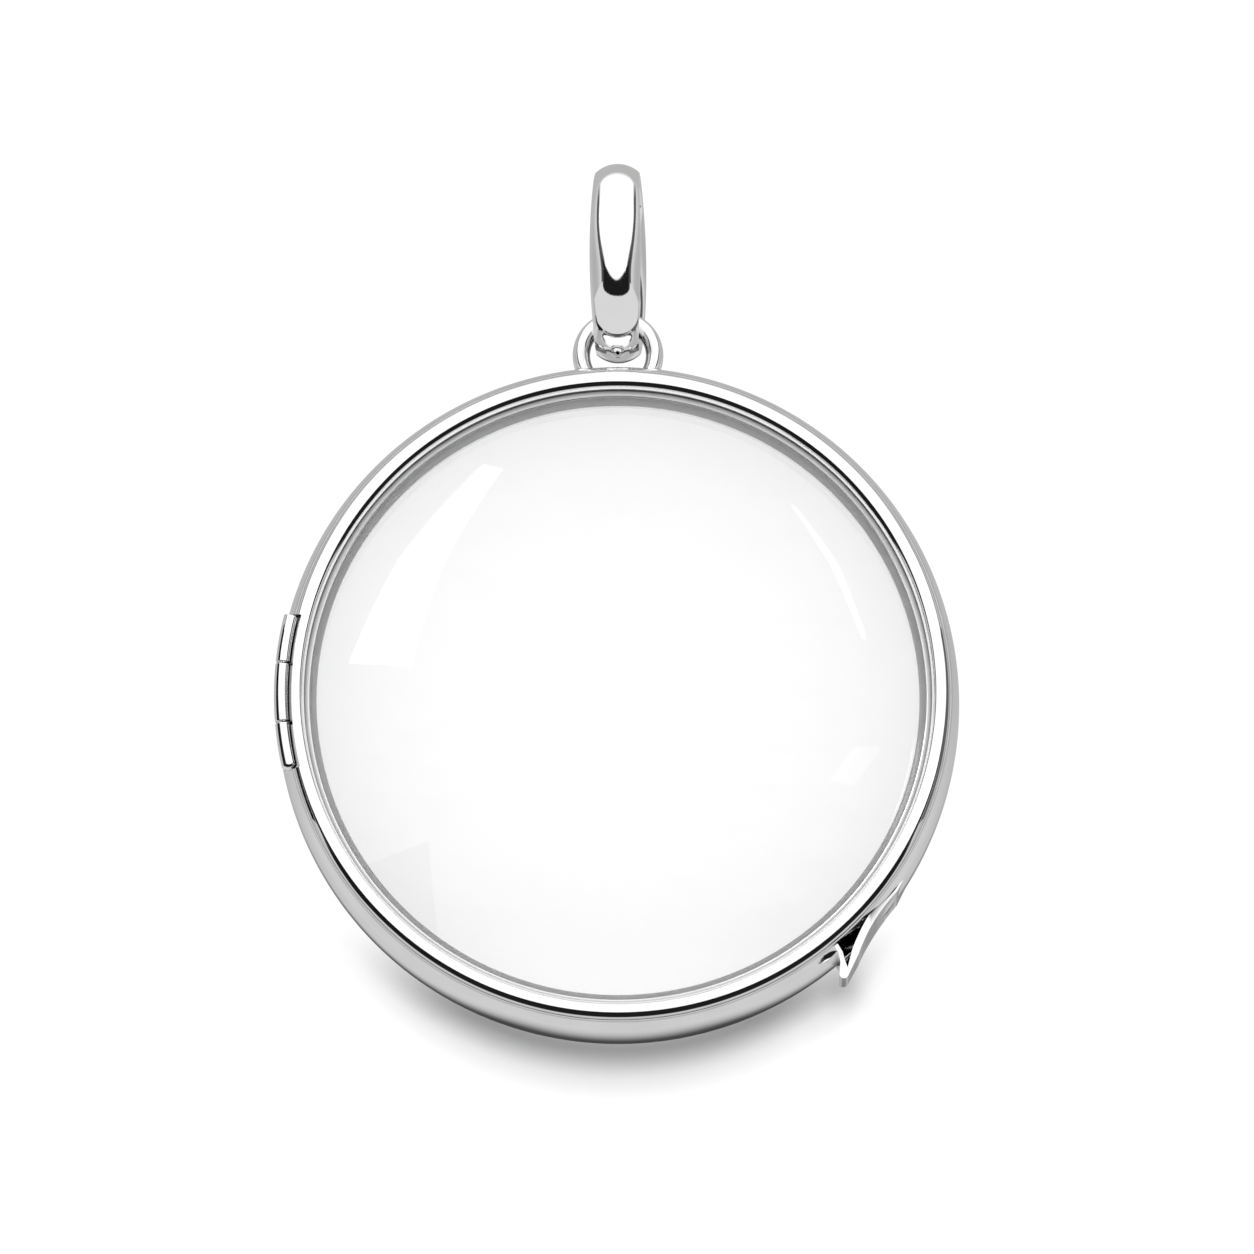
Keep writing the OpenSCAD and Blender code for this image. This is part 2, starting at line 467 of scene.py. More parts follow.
@dataclass
class Measures:
    """Radii and depths that the pieces of the case share, in millimetres from its middle."""

    case_r: float = field(default_factory=lambda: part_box("case")[1].x / MM)
    middle_z: float = field(default_factory=lambda: middle_height("back_glass"))
    crown: float = field(default_factory=lambda: -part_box("front_glass")[0].y / MM)
    seam_z: float = field(default_factory=lambda: -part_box("lid")[0].y / MM - BEZEL_RISE)
    bezel_w: float = 0.84
    bezel_rise: float = BEZEL_RISE
    crown_tilt: float = 15.0
    crown_in_r: float = 0.33
    crown_out_r: float = 0.38
    shoulder: float = 0.38
    wall: float = 0.75
    skirt_play: float = 0.15
    skirt_w: float = 0.31
    lip_w: float = 0.24
    lip_drop: float = 0.7
    ledge_w: float = 0.65
    ledge_drop: float = 1.33
    glass_play: float = 0.03
    lid_gap: float = 0.04
    barrel_r: float = 0.34
    barrel_out: float = 0.14
    barrel_drop: float = 0.15
    hinge_up: float = 0.1

    @property
    def seam_r(self) -> float:
        """Radius of the seam between the band and the bezel."""
        return self.case_r - self.shoulder

    @property
    def bezel_r(self) -> float:
        """Radius of the middle of the bezel."""
        return self.seam_r - self.bezel_w / 2

    @property
    def bezel_in_r(self) -> float:
        """Inner radius of the bezel."""
        return self.seam_r - self.bezel_w

    @property
    def wall_r(self) -> float:
        """Inner radius of the outer band."""
        return self.case_r - self.wall

    @property
    def skirt_r(self) -> float:
        """Outer radius of the lid's skirt."""
        return self.wall_r - self.skirt_play

    @property
    def seat_r(self) -> float:
        """Radius of the seat round the glass."""
        return self.skirt_r - self.skirt_w

    @property
    def lip_r(self) -> float:
        """Inner radius of the lip over the glass."""
        return self.seat_r - self.lip_w

    @property
    def ledge_r(self) -> float:
        """Inner radius of the ledge that the glass rests on."""
        return self.seat_r - self.ledge_w

    @property
    def ledge_top(self) -> float:
        """Depth of the ledge that the glass rests on."""
        return self.seam_z - self.ledge_drop

    @property
    def lip_under(self) -> float:
        """Depth of the underside of the lip."""
        return self.seam_z - self.lip_drop

    @property
    def barrel_z(self) -> float:
        """Depth of the middle of the hinge barrel."""
        return self.seam_z - self.barrel_drop

    @property
    def barrel_mid_r(self) -> float:
        """Radius of the middle of the hinge barrel."""
        return self.seam_r + self.barrel_out

    def crown_line(self, side: Side) -> list[tuple[float, float, float]]:
        """The bezel's crown from its outer to its inner edge.

        Args:
            side: The side of the case.

        Returns:
            Corners for an outline: radius, depth and a round of 0.
        """
        tilt = math.radians(self.crown_tilt)
        half = self.bezel_w / 2
        out_x, in_x = half - self.crown_out_r, self.crown_in_r - half
        out_join = out_x + self.crown_out_r * math.sin(tilt)
        in_join = in_x - self.crown_in_r * math.sin(tilt)
        top_r = (out_join - in_join) / 2 / math.sin(tilt)
        top_x, top_z = (out_join + in_join) / 2, self.seam_z + self.bezel_rise - top_r
        out_z = top_z + (top_r - self.crown_out_r) * math.cos(tilt)
        in_z = top_z + (top_r - self.crown_in_r) * math.cos(tilt)
        seam_turn = math.degrees(math.asin((self.seam_z - out_z) / self.crown_out_r))
        left, right = 90 + self.crown_tilt, 90 - self.crown_tilt
        steps = 10
        line = arc((self.bezel_r + out_x, out_z), self.crown_out_r, seam_turn, right, steps)
        line += arc((self.bezel_r + top_x, top_z), top_r, right, left, steps)[1:]
        line += arc((self.bezel_r + in_x, in_z), self.crown_in_r, left, 180, steps)[1:]
        return [(r, side.value * depth, 0) for r, depth in line]

    def seat_line(self, side: Side) -> list[tuple[float, float, float]]:
        """Inner side of the bezel, lip, seat and ledge, inwards from the outside of that side.

        Args:
            side: The side of the case.

        Returns:
            Corners for an outline: radius, depth and round of each.
        """
        rim_z, edge_z = self.seam_z - 0.5, self.lip_under + 0.07
        line = [
            (self.bezel_in_r, rim_z + 0.04, 0),
            (self.bezel_in_r, rim_z, 0.02),
            (self.lip_r + 0.075, edge_z + 0.02, 0.01),
            (self.lip_r, edge_z, 0.02),
            (self.lip_r, self.lip_under, 0.02),
            (self.seat_r, self.lip_under, 0),
            (self.seat_r, self.ledge_top, 0),
            (self.ledge_r, self.ledge_top, 0.06),
        ]
        return [(r, side.value * depth, radius) for r, depth, radius in line]

    def glass_depth(self, radius: float) -> float:
        """Depth of the outside of the glass at a radius."""
        rise = self.crown - (self.lip_under - self.glass_play)
        return dome_depth(self.crown, dome_radius(self.lip_r, rise), radius)


class Workshop:
    """What every sub-assembly uses: the shared sizes, the sweep and the finishes.

    CREASE is the angle in degrees above which a piece's edges stay sharp.
    """

    CREASE = 32

    def __init__(self) -> None:
        """Builds the sweep and both finishes."""
        self.sizes = Measures()
        self.sweep = RingSweep()
        self.silver = Silver().material()
        self.glass = Glass(self.sizes.middle_z * MM, self.sizes.seat_r * MM).material()
        upright = Matrix.Translation((0, 0, self.sizes.middle_z)) @ Matrix.Rotation(math.pi / 2, 4, "X")
        self.face_on = Matrix.Scale(MM, 4) @ upright

    def finish_piece(
        self,
        obj: bpy.types.Object,
        body: Body,
        slot: Slot,
        replaced: Sequence[str],
        place: Matrix | None = None,
    ) -> None:
        """Smooths a piece, lays it in its place and ties it to its body.

        Args:
            obj: The piece, in millimetres.
            body: The body that it rides on.
            slot: The record's material slot.
            replaced: The nodes that it stands for.
            place: Matrix that lays it in place in metres, or None for a piece drawn face-on.
        """
        material = self.silver if slot is Slot.SILVER else self.glass
        obj.data.materials.clear()
        obj.data.materials.append(material)
        obj.data.polygons.foreach_set("material_index", [0] * len(obj.data.polygons))
        obj.data.shade_smooth()
        obj.data.set_sharp_from_angle(angle=math.radians(self.CREASE))
        weighted = obj.modifiers.new("even_shading", "WEIGHTED_NORMAL")
        weighted.keep_sharp = True
        settle(obj)
        mesh = obj.data
        if place is None and slot is Slot.SILVER:
            self._mark_recesses(mesh)
        mesh.transform(place or self.face_on)
        mesh.name = obj.name
        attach(obj, body.value)
        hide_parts(*replaced)
        triangles = sum(len(p.vertices) - 2 for p in mesh.polygons)
        log.info("%s: %d triangles, on %s", obj.name, triangles, body.value)

    def _mark_recesses(self, mesh: bpy.types.Mesh) -> None:
        """Stores which vertices get painted shade, deep in a seam, at the bezel's inner foot or beside the
        hinge, and which lie on the brushed seat of the glass.

        Args:
            mesh: Mesh of a silver piece that is still drawn face-on, in millimetres.
        """
        s = self.sizes
        seam_reach, foot_reach = 0.07, 0.12
        foot_z = s.seam_z - 0.45
        # Painted shade: these marks darken the seams and the bezel's inner foot, and the notch beside the
        # hinge is darkened fully, where shade falls.
        marks = [
            (s.seam_r, s.seam_z, seam_reach),
            (s.seam_r, -s.seam_z, seam_reach),
            (s.bezel_in_r, foot_z, foot_reach),
            (s.bezel_in_r, -foot_z, foot_reach),
        ]
        hinge_low, hinge_high = -3.4, 3.6
        notch = ((s.seam_r - 0.31, s.seam_r - 0.08), (0.0, s.seam_z + 0.02))
        lip = ((s.lip_r + 0.04, s.bezel_in_r + 0.03), (s.lip_under, s.seam_z - 0.47))
        ledge = ((s.ledge_r + 0.03, s.seat_r + 0.02), (0.6, s.lip_under - 0.02))
        recessed, brushed = [], []
        for vertex in mesh.vertices:
            x, y, z = vertex.co
            radius = math.hypot(x, y)
            near = (math.exp(-(((radius - r) ** 2 + (z - at) ** 2) / reach**2)) for r, at, reach in marks)
            beside_hinge = x < 0 and hinge_low < y < hinge_high and within(notch, radius, z)
            recessed.append(1.0 if beside_hinge else min(1.0, sum(near)))
            brushed.append(float(any(within(zone, radius, abs(z)) for zone in (lip, ledge))))
        for name, values in (("recess", recessed), ("brushed", brushed)):
            mesh.attributes.new(name, "FLOAT", "POINT").data.foreach_set("value", values)


class Shader:
    """Short ways to add nodes to a node tree."""

    def __init__(self, tree: bpy.types.NodeTree) -> None:
        """Works in a tree, which is emptied first."""
        self.tree = tree
        tree.nodes.clear()

    def give(self, target: Socket, value: object) -> None:
        """Feeds an input.

        Args:
            target: The input.
            value: An output, which is linked, or a number or colour, which is set.
        """
        if isinstance(value, Socket):
            self.tree.links.new(value, target)
        else:
            target.default_value = value

    def node(self, kind: str, **inputs: object) -> bpy.types.Node:
        """Adds a node.

        Args:
            kind: Type of the node.
            **inputs: Its inputs, named with underscores for blanks.

        Returns:
            The new node.
        """
        made = self.tree.nodes.new(kind)
        for name, value in inputs.items():
            self.give(socket(made, name.replace("_", " ")), value)
        return made

    def math(self, operation: str, *values: object) -> Socket:
        """Adds a Math node.

        Args:
            operation: The node's operation.
            *values: Its inputs in turn.

        Returns:
            Its result.
        """
        made = self.tree.nodes.new("ShaderNodeMath")
        made.operation = operation
        for target, value in zip(made.inputs, values):
            self.give(target, value)
        return made.outputs[0]

    def product(self, first: object, *others: object) -> Socket:
        """Multiplies values.

        Args:
            first: The first of them.
            *others: The others.

        Returns:
            Their product.
        """
        for other in others:
            first = self.math("MULTIPLY", first, other)
        return first

    def add_scaled(self, base: object, value: object, factor: object) -> Socket:
        """The base plus a value times a factor."""
        return self.math("MULTIPLY_ADD", value, factor, base)

    def step(self, value: object, low: float, high: float) -> Socket:
        """A smooth step.

        Args:
            value: What is stepped.
            low: Value at which the step is 0; it may be the larger.
            high: Value at which it is 1.

        Returns:
            The step, from 0 to 1.
        """
        made = self.node("ShaderNodeMapRange", Value=value, From_Min=low, From_Max=high)
        made.interpolation_type = "SMOOTHSTEP"
        return made.outputs[0]

    def _blend(self, kind: str, *values: object) -> Socket:
        """Adds a Mix node.

        Args:
            kind: Type of what it mixes.
            *values: Its factor and its two sides.

        Returns:
            Its result.
        """
        made = self.tree.nodes.new("ShaderNodeMix")
        made.data_type = kind
        for name, value in zip(("Factor", "A", "B"), values):
            self.give(socket(made, name), value)
        return next(s for s in made.outputs if s.enabled)

    def blend(self, factor: object, first: object, second: object) -> Socket:
        """Mixes two numbers."""
        return self._blend("FLOAT", factor, first, second)

    def blend_colour(self, factor: object, first: object, second: object) -> Socket:
        """Mixes two colours."""
        return self._blend("RGBA", factor, first, second)

    def blend_shaders(self, factor: object, first: bpy.types.Node, second: bpy.types.Node) -> bpy.types.Node:
        """Mixes two shaders.

        Args:
            factor: Share of the second.
            first: Node of the first shader.
            second: Node of the second shader.

        Returns:
            The Mix Shader node.
        """
        made = self.tree.nodes.new("ShaderNodeMixShader")
        for target, value in zip(made.inputs, (factor, first.outputs[0], second.outputs[0])):
            self.give(target, value)
        return made

    def place(self) -> Socket:
        """The object's own coordinates."""
        return self.node("ShaderNodeTexCoord").outputs["Object"]

    def stretched(self, scale: tuple[float, float, float]) -> Socket:
        """The object's own coordinates, scaled along each axis."""
        return self.node("ShaderNodeMapping", Vector=self.place(), Scale=scale).outputs[0]

    def noise(self, vector: object, scale: float, detail: float = 3.0) -> Socket:
        """Noise between 0 and 1."""
        return self.node("ShaderNodeTexNoise", Vector=vector, Scale=scale, Detail=detail).outputs["Fac"]

    def attribute(self, name: str) -> Socket:
        """A value that the mesh stores.

        Args:
            name: Name of the attribute.

        Returns:
            Its value.
        """
        made = self.node("ShaderNodeAttribute")
        made.attribute_name = name
        return made.outputs["Fac"]

    def grey(self, tone: Socket) -> Socket:
        """A grey of that tone."""
        return self.node("ShaderNodeCombineColor", Red=tone, Green=tone, Blue=tone).outputs[0]

    def bump(self, distance: float, height: Socket) -> Socket:
        """Normal of a surface that rises with the height, by at most the distance."""
        return self.node("ShaderNodeBump", Strength=1.0, Distance=distance, Height=height).outputs["Normal"]

    def group(self, tree: bpy.types.NodeTree, **inputs: object) -> bpy.types.Node:
        """Adds a node group.

        Args:
            tree: The group's tree.
            **inputs: Its inputs, named with underscores for blanks.

        Returns:
            The new node.
        """
        made = self.tree.nodes.new("ShaderNodeGroup")
        made.node_tree = tree
        for name, value in inputs.items():
            self.give(made.inputs[name.replace("_", " ")], value)
        return made


def new_material(name: str) -> tuple[bpy.types.Material, Shader]:
    """Starts a material.

    Args:
        name: Name of the material.

    Returns:
        The material and the shader that fills its tree.
    """
    material = bpy.data.materials.new(name)
    material.use_nodes = True
    return material, Shader(material.node_tree)


class Effects:
    """Surface effects that the finishes share, each a node group that is built once."""

    _made: dict[str, bpy.types.NodeTree] = {}

    @classmethod
    def _group(
        cls,
        name: str,
        inputs: dict[str, float],
        outputs: Sequence[str],
        fill: Callable[[Shader, Sockets], Sockets],
    ) -> bpy.types.NodeTree:
        """Builds a group at its first use.

        Args:
            name: Name of the group.
            inputs: Its inputs with their usual values.
            outputs: The names of its outputs.
            fill: Adds its nodes; takes the shader and the input sockets and returns the output sockets.

        Returns:
            The group's tree.
        """
        if name in cls._made:
            return cls._made[name]
        tree = bpy.data.node_groups.new(name, "ShaderNodeTree")
        shader = Shader(tree)
        for key, value in inputs.items():
            made = tree.interface.new_socket(key, in_out="INPUT", socket_type="NodeSocketFloat")
            made.default_value = value
        for key in outputs:
            tree.interface.new_socket(key, in_out="OUTPUT", socket_type="NodeSocketFloat")
        given = tree.nodes.new("NodeGroupInput")
        result = tree.nodes.new("NodeGroupOutput")
        filled = fill(shader, {key: given.outputs[key] for key in inputs})
        for key in outputs:
            tree.links.new(filled[key], result.inputs[key])
        cls._made[name] = tree
        return tree

    @classmethod
    def polishing(cls) -> bpy.types.NodeTree:
        """Fine marks that a polishing wheel leaves, and the slow waves under them.

        Returns:
            The group's tree, which puts out their Height and the Cloud of duller places.
        """

        def fill(shader: Shader, given: Sockets) -> Sockets:
            """Adds the marks, the waves and the cloudy places.

            Args:
                shader: The group's shader.
                given: The group's inputs.

            Returns:
                The group's outputs.
            """
            fine = shader.noise(shader.stretched((1.0, 9.0, 1.0)), 9000.0, 4.0)
            place = shader.place()
            waves = shader.noise(place, 700.0, 2.0)
            height = shader.add_scaled(shader.product(fine, given["Marks"]), waves, given["Waves"])
            return {"Height": height, "Cloud": shader.step(shader.noise(place, 420.0, 5.0), 0.35, 0.75)}

        return cls._group("polishing", {"Marks": 0.3, "Waves": 0.7}, ("Height", "Cloud"), fill)

    @classmethod
    def patches(cls, name: str, attribute: str, scale: float, detail: float) -> bpy.types.NodeTree:
        """Group that takes a mark stored on the mesh and makes it a little patchy.

        Args:
            name: Name of the group.
            attribute: Name of the stored mark.
            scale: Scale of the patches.
            detail: Detail of the patches.

        Returns:
            The group's tree, which puts out its Mask.
        """

        def fill(shader: Shader, given: Sockets) -> Sockets:
            """Adds the patches.

            Args:
                shader: The group's shader.
                given: The group's inputs.

            Returns:
                The group's outputs.
            """
            patchy = shader.blend(shader.noise(shader.place(), scale, detail), 0.75, 1.0)
            return {"Mask": shader.product(shader.attribute(attribute), patchy, given["Amount"])}

        return cls._group(name, {"Amount": 1.0}, ("Mask",), fill)

    @classmethod
    def smudges(cls) -> bpy.types.NodeTree:
        """Faint traces of a cloth on glass, and its slow unevenness.

        Returns:
            The group's tree, which puts out the Trace and the Height.
        """

        def fill(shader: Shader, given: Sockets) -> Sockets:
            """Adds the traces and the unevenness.

            Args:
                shader: The group's shader.
                given: The group's inputs.

            Returns:
                The group's outputs.
            """
            trace = shader.step(shader.noise(shader.stretched((1.0, 1.0, 3.5)), 260.0, 5.0), 0.45, 0.8)
            uneven = shader.noise(shader.place(), 120.0, 1.0)
            return {"Trace": shader.product(trace, given["Amount"]), "Height": uneven}

        return cls._group("smudges", {"Amount": 1.0}, ("Trace", "Height"), fill)

    @classmethod
    def painted_rim_shade(cls) -> bpy.types.NodeTree:
        """Painted shade: how far the glass greys from its middle to its rim.

        Returns:
            The group's tree, which puts out the Grey.
        """

        def fill(shader: Shader, given: Sockets) -> Sockets:
            """Adds the share of the way from the middle to the rim.

            Args:
                shader: The group's shader.
                given: The group's inputs.

            Returns:
                The group's outputs.
            """
            parts = shader.node("ShaderNodeSeparateXYZ", Vector=shader.place()).outputs
            height = shader.math("SUBTRACT", parts["Z"], given["Middle"])
            square = shader.add_scaled(shader.product(parts["X"], parts["X"]), height, height)
            share = shader.math("DIVIDE", shader.math("SQRT", square), given["Radius"])
            return {"Grey": shader.math("POWER", shader.math("MINIMUM", share, 1.0), 4.0)}

        return cls._group("painted_rim_shade", {"Middle": 0.0, "Radius": 1.0}, ("Grey",), fill)


@dataclass(frozen=True)
class Silver:
    """Polished sterling silver, with painted shade in its seams and hollows, and brushed where the glass
    sits.
    """

    bright: Colour = (0.955, 0.955, 0.957, 1.0)
    clouded: Colour = (0.905, 0.902, 0.898, 1.0)
    brushed: Colour = (0.92, 0.92, 0.922, 1.0)
    painted_shade_colour: Colour = (0.04, 0.039, 0.038, 1.0)
    roughness: float = 0.035
    cloud_dulls: float = 0.03
    brushing_dulls: float = 0.72
    painted_shade_dulls: float = 0.24
    bump_m: float = 0.0000012

    def material(self) -> bpy.types.Material:
        """Builds the finish.

        Returns:
            The material.
        """
        material, shader = new_material("polished_silver")
        polish = shader.group(Effects.polishing(), Marks=0.25, Waves=0.75)
        cloud = polish.outputs["Cloud"]
        # Painted shade: where the stored recess mark is set, the colour turns near black, standing in for the
        # shade in seams, hollows and gaps.
        painted_shade = shader.group(Effects.patches("painted_shade", "recess", 1500.0, 4.0), Amount=1.0).outputs["Mask"]
        matt = shader.group(Effects.patches("brushing", "brushed", 2500.0, 3.0), Amount=1.0).outputs["Mask"]
        colour = shader.blend_colour(cloud, self.bright, self.clouded)
        colour = shader.blend_colour(matt, colour, self.brushed)
        colour = shader.blend_colour(painted_shade, colour, self.painted_shade_colour)
        rough: object = self.roughness
        dulls = ((cloud, self.cloud_dulls), (matt, self.brushing_dulls), (painted_shade, self.painted_shade_dulls))
        for mask, dulling in dulls:
            rough = shader.add_scaled(rough, mask, dulling)
        surface = shader.node(
            "ShaderNodeBsdfPrincipled",
            Base_Color=colour,
            Metallic=shader.math("SUBTRACT", 1.0, matt),
            Roughness=rough,
            Normal=shader.bump(self.bump_m, polish.outputs["Height"]),
        )
        shader.node("ShaderNodeOutputMaterial", Surface=surface.outputs[0])
        return material


@dataclass(frozen=True)
class Glass:
    """Clear polished glass, its colour greyed towards the rim as painted shade. Shadow rays pass it, as light
    does in a thin dome.
    """

    middle_m: float
    radius_m: float
    clear: Colour = (1.0, 1.0, 1.0, 1.0)
    rim_shade_colour: Colour = (0.90, 0.901, 0.902, 1.0)
    traced: Colour = (0.975, 0.976, 0.977, 1.0)
    trace_dulls: float = 0.003
    ior: float = 1.5
    specular: float = 0.3
    bump_m: float = 0.000002

    def material(self) -> bpy.types.Material:
        """Builds the finish.

        Returns:
            The material.
        """
        material, shader = new_material("clear_glass")
        smudges = shader.group(Effects.smudges(), Amount=0.6)
        trace = smudges.outputs["Trace"]
        rim = shader.group(Effects.painted_rim_shade(), Middle=self.middle_m, Radius=self.radius_m).outputs["Grey"]
        colour = shader.blend_colour(trace, self.clear, self.traced)
        surface = shader.node(
            "ShaderNodeBsdfPrincipled",
            # Painted shade: the colour greys towards the rim.
            Base_Color=shader.blend_colour(rim, colour, self.rim_shade_colour),
            Metallic=0.0,
            Roughness=shader.product(trace, self.trace_dulls),
            IOR=self.ior,
            Specular_IOR_Level=self.specular,
            Transmission_Weight=1.0,
            Normal=shader.bump(self.bump_m, smudges.outputs["Height"]),
        )
        passing = shader.node("ShaderNodeBsdfTransparent", Color=self.clear)
        rays = shader.node("ShaderNodeLightPath")
        mix = shader.blend_shaders(rays.outputs["Is Shadow Ray"], surface, passing)
        shader.node("ShaderNodeOutputMaterial", Surface=mix.outputs[0])
        return material


@dataclass
class CaseBand:
    """Outer band of the case with the back bezel, cut for the hinge and the nail scoop."""

    shop: Workshop
    scoop_angle: float = -51.7
    scoop_axes: tuple[float, float, float] = (0.4, 0.6, 0.34)
    scoop_sunk: float = 0.02
    scoop_drop: float = 0.37
    groove: float = 0.03
    rest_drop: float = 0.3
    bulge_turn: float = 6.0
    edge_turn: float = 36.0

    def outline(self) -> list[Point]:
        """Section of the band.

        Returns:
            Its points from the front seam round the outside to the back and the inside.
        """
        s = self.shop.sizes
        front = s.seam_z - s.lid_gap
        drop, reach = s.case_r - s.seam_r, s.seam_z
        flat, edge = math.radians(self.bulge_turn), math.radians(self.edge_turn)
        sines = math.sin(edge) - math.sin(flat)
        cosines = math.cos(flat) - math.cos(edge)
        bulge_r = (reach * cosines - drop * sines) / (math.sin(flat) * cosines - (1 - math.cos(flat)) * sines)
        shoulder_r = (drop - bulge_r * (1 - math.cos(flat))) / cosines
        middle = Vector((s.case_r - bulge_r, 0)) + (bulge_r - shoulder_r) * polar(1, self.bulge_turn)
        front_turn = math.degrees(math.asin((front - middle.y) / shoulder_r))
        half = arc(middle, shoulder_r, front_turn, self.bulge_turn, 14)
        half += arc((s.case_r - bulge_r, 0), bulge_r, self.bulge_turn, 0, 6)[1:]
        lower = [(r, -z) for r, z in arc(middle, shoulder_r, self.edge_turn, self.bulge_turn, 14)]
        lower += [(r, -z) for r, z in arc((s.case_r - bulge_r, 0), bulge_r, self.bulge_turn, 0, 6)[1:-1]]
        corners = [(s.wall_r, front, 0.03)]
        corners += [(r, z, 0) for r, z in half + lower[::-1]]
        corners += [(s.seam_r - self.groove, -s.seam_z, 0)]
        corners += s.crown_line(Side.BACK)
        corners += s.seat_line(Side.BACK)
        rest = s.ledge_top - self.rest_drop
        corners += [(s.ledge_r, rest, 0.05), (s.wall_r, rest, 0)]
        return rounded(corners)

    def build(self) -> None:
        """Builds the band and dresses it."""
        s = self.shop.sizes
        band = self.shop.sweep.make("case_band", self.outline(), self.shop.silver, s.seam_r)
        hinge = HingeBarrel(self.shop)
        combine(band, hinge.notch("band_notch", s.bezel_in_r, hinge.floor), Cut.OFF)
        ball = revolve("scoop", arc((0, 0), 1.0, 90, -90, 48), 96)
        turned = Matrix.Rotation(math.radians(self.scoop_angle), 4, "Z")
        middle = (*polar(s.case_r - self.scoop_sunk, self.scoop_angle), s.seam_z - self.scoop_drop)
        ball.transform(Matrix.Translation(middle) @ turned @ Matrix.Diagonal((*self.scoop_axes, 1.0)))
        combine(band, add_object("scoop", ball), Cut.OFF)
        self.shop.finish_piece(band, Body.CASE, Slot.SILVER, ["case"])


@dataclass
class HingeBarrel:
    """The hinge's barrel, which follows the rim in three knuckles on a straight pin."""

    shop: Workshop
    length: float = 6.9
    lid_length: float = 2.6
    gap: float = 0.06
    web: float = 0.2
    lower_round: float = 0.22
    small_round: float = 0.05
    upper_play: float = 0.4
    lower_play: float = 0.05
    floor_play: float = 0.2
    notch_w: float = 4.0
    pin_r: float = 0.1
    pin_length: float = 4.8
    pin_chamfer: float = 0.04
    pin_inset: float = 0.1

    @property
    def floor(self) -> float:
        """Depth of the floor of the notch in the band."""
        s = self.shop.sizes
        return s.barrel_z - s.barrel_r - self.floor_play

    def _turn(self, height: float) -> float:
        """Angle on the left side of the rim at a height above the middle, in degrees."""
        return 180 - math.degrees(math.asin(height / self.shop.sizes.barrel_mid_r))

    def notch(self, name: str, from_r: float, from_z: float) -> bpy.types.Object:
        """Tool that cuts room for the barrel.

        Args:
            name: Name of the new object.
            from_r: Its inner radius; it reaches past the outside.
            from_z: Its depth at the back; it reaches past the front.

        Returns:
            The tool.
        """
        up = self.shop.sizes.hinge_up
        first = self._turn(up + self.length / 2) - self.upper_play
        last = self._turn(up - self.length / 2) + self.lower_play
        outline = rectangle((from_r, from_r + self.notch_w), (from_z, from_z + self.notch_w))
        return self.shop.sweep.make(name, outline, self.shop.silver, from_r, (first, last), 60)

    def _end(self, at: float, rounding: float, way: int) -> list[Point]:
        """Stations of a knuckle's rounded end.

        Args:
            at: Height of the end.
            rounding: How far it is rounded.
            way: 1 for a lower and -1 for an upper end.

        Returns:
            Height and radius of each station, from the lowest.
        """
        steps = 8
        turns = [math.radians(90 * k / steps) for k in range(steps + 1)]
        full = self.shop.sizes.barrel_r
        made = [(at + way * rounding * (1 - math.sin(t)), full - rounding * (1 - math.cos(t))) for t in turns]
        return sorted(made)

    def knuckle(self, name: str, span: Point, rounds: Point) -> bpy.types.Object:
        """Part of the barrel between two heights.

        Args:
            name: Name of the new object.
            span: Heights of its lower and its upper end.
            rounds: How far the lower and the upper end are rounded.

        Returns:
            The new object.
        """
        s = self.shop.sizes
        sides, steps = 48, 40
        lower, upper = self._end(span[0], rounds[0], 1), self._end(span[1], rounds[1], -1)
        first, last = lower[-1][0], upper[0][0]
        middle = [(first + (last - first) * k / steps, s.barrel_r) for k in range(1, steps)]
        line = lower + middle + upper
        points: list[tuple[float, float, float]] = []
        for height, radius in line:
            out = polar(1, self._turn(height))
            for i in range(sides):
                a = 2 * math.pi * i / sides
                reach = s.barrel_mid_r + radius * math.cos(a)
                points.append((out.x * reach, out.y * reach, s.barrel_z + radius * math.sin(a)))
        caps = [tuple(range(sides)), tuple(range(len(points) - sides, len(points)))]
        return add_object(name, mesh_of(name, points, caps + ring_faces(len(line), sides)))

    def _fit(
        self, name: str, body: Body, span: Point, rounds: Point, inset: float, radii: Point, depths: Point
    ) -> None:
        """Builds a knuckle with the web that ties it to the metal beside it, and dresses it.

        Args:
            name: Name of the piece.
            body: The body that it rides on.
            span: Heights of its lower and its upper end.
            rounds: How far the lower and the upper end are rounded.
            inset: How far the web stays inside both ends.
            radii: Inner and outer radius of the web.
            depths: Depths of the back and the front of the web.
        """
        part = self.knuckle(name, span, rounds)
        turns = (self._turn(span[1] - inset), self._turn(span[0] + inset))
        section = rectangle(radii, depths)
        web = self.shop.sweep.make(name + "_web", section, self.shop.silver, radii[1], turns, 30)
        combine(part, web, Cut.ON)
        self.shop.finish_piece(part, body, Slot.SILVER, [body.value])

    def build(self) -> None:
        """Builds the knuckles and dresses the pin that they hide."""
        s = self.shop.sizes
        low, high = s.hinge_up - self.length / 2, s.hinge_up + self.length / 2
        lid_low, lid_high = s.hinge_up - self.lid_length / 2, s.hinge_up + self.lid_length / 2
        even = (self.small_round, self.small_round)
        radii, depths = (s.wall_r + 0.02, s.barrel_mid_r), (self.floor - 0.1, s.barrel_z)
        lower_rounds = (self.lower_round, self.small_round)
        inset = 0.1
        self._fit("knuckle_lower", Body.CASE, (low, lid_low - self.gap), lower_rounds, inset, radii, depths)
        self._fit("knuckle_upper", Body.CASE, (lid_high + self.gap, high), even, inset, radii, depths)
        radii, depths = (s.skirt_r - 0.05, s.barrel_mid_r), (s.barrel_z - self.web, s.barrel_z + self.web / 2)
        self._fit("knuckle_lid", Body.LID, (lid_low, lid_high), even, inset / 2, radii, depths)
        self._pin()

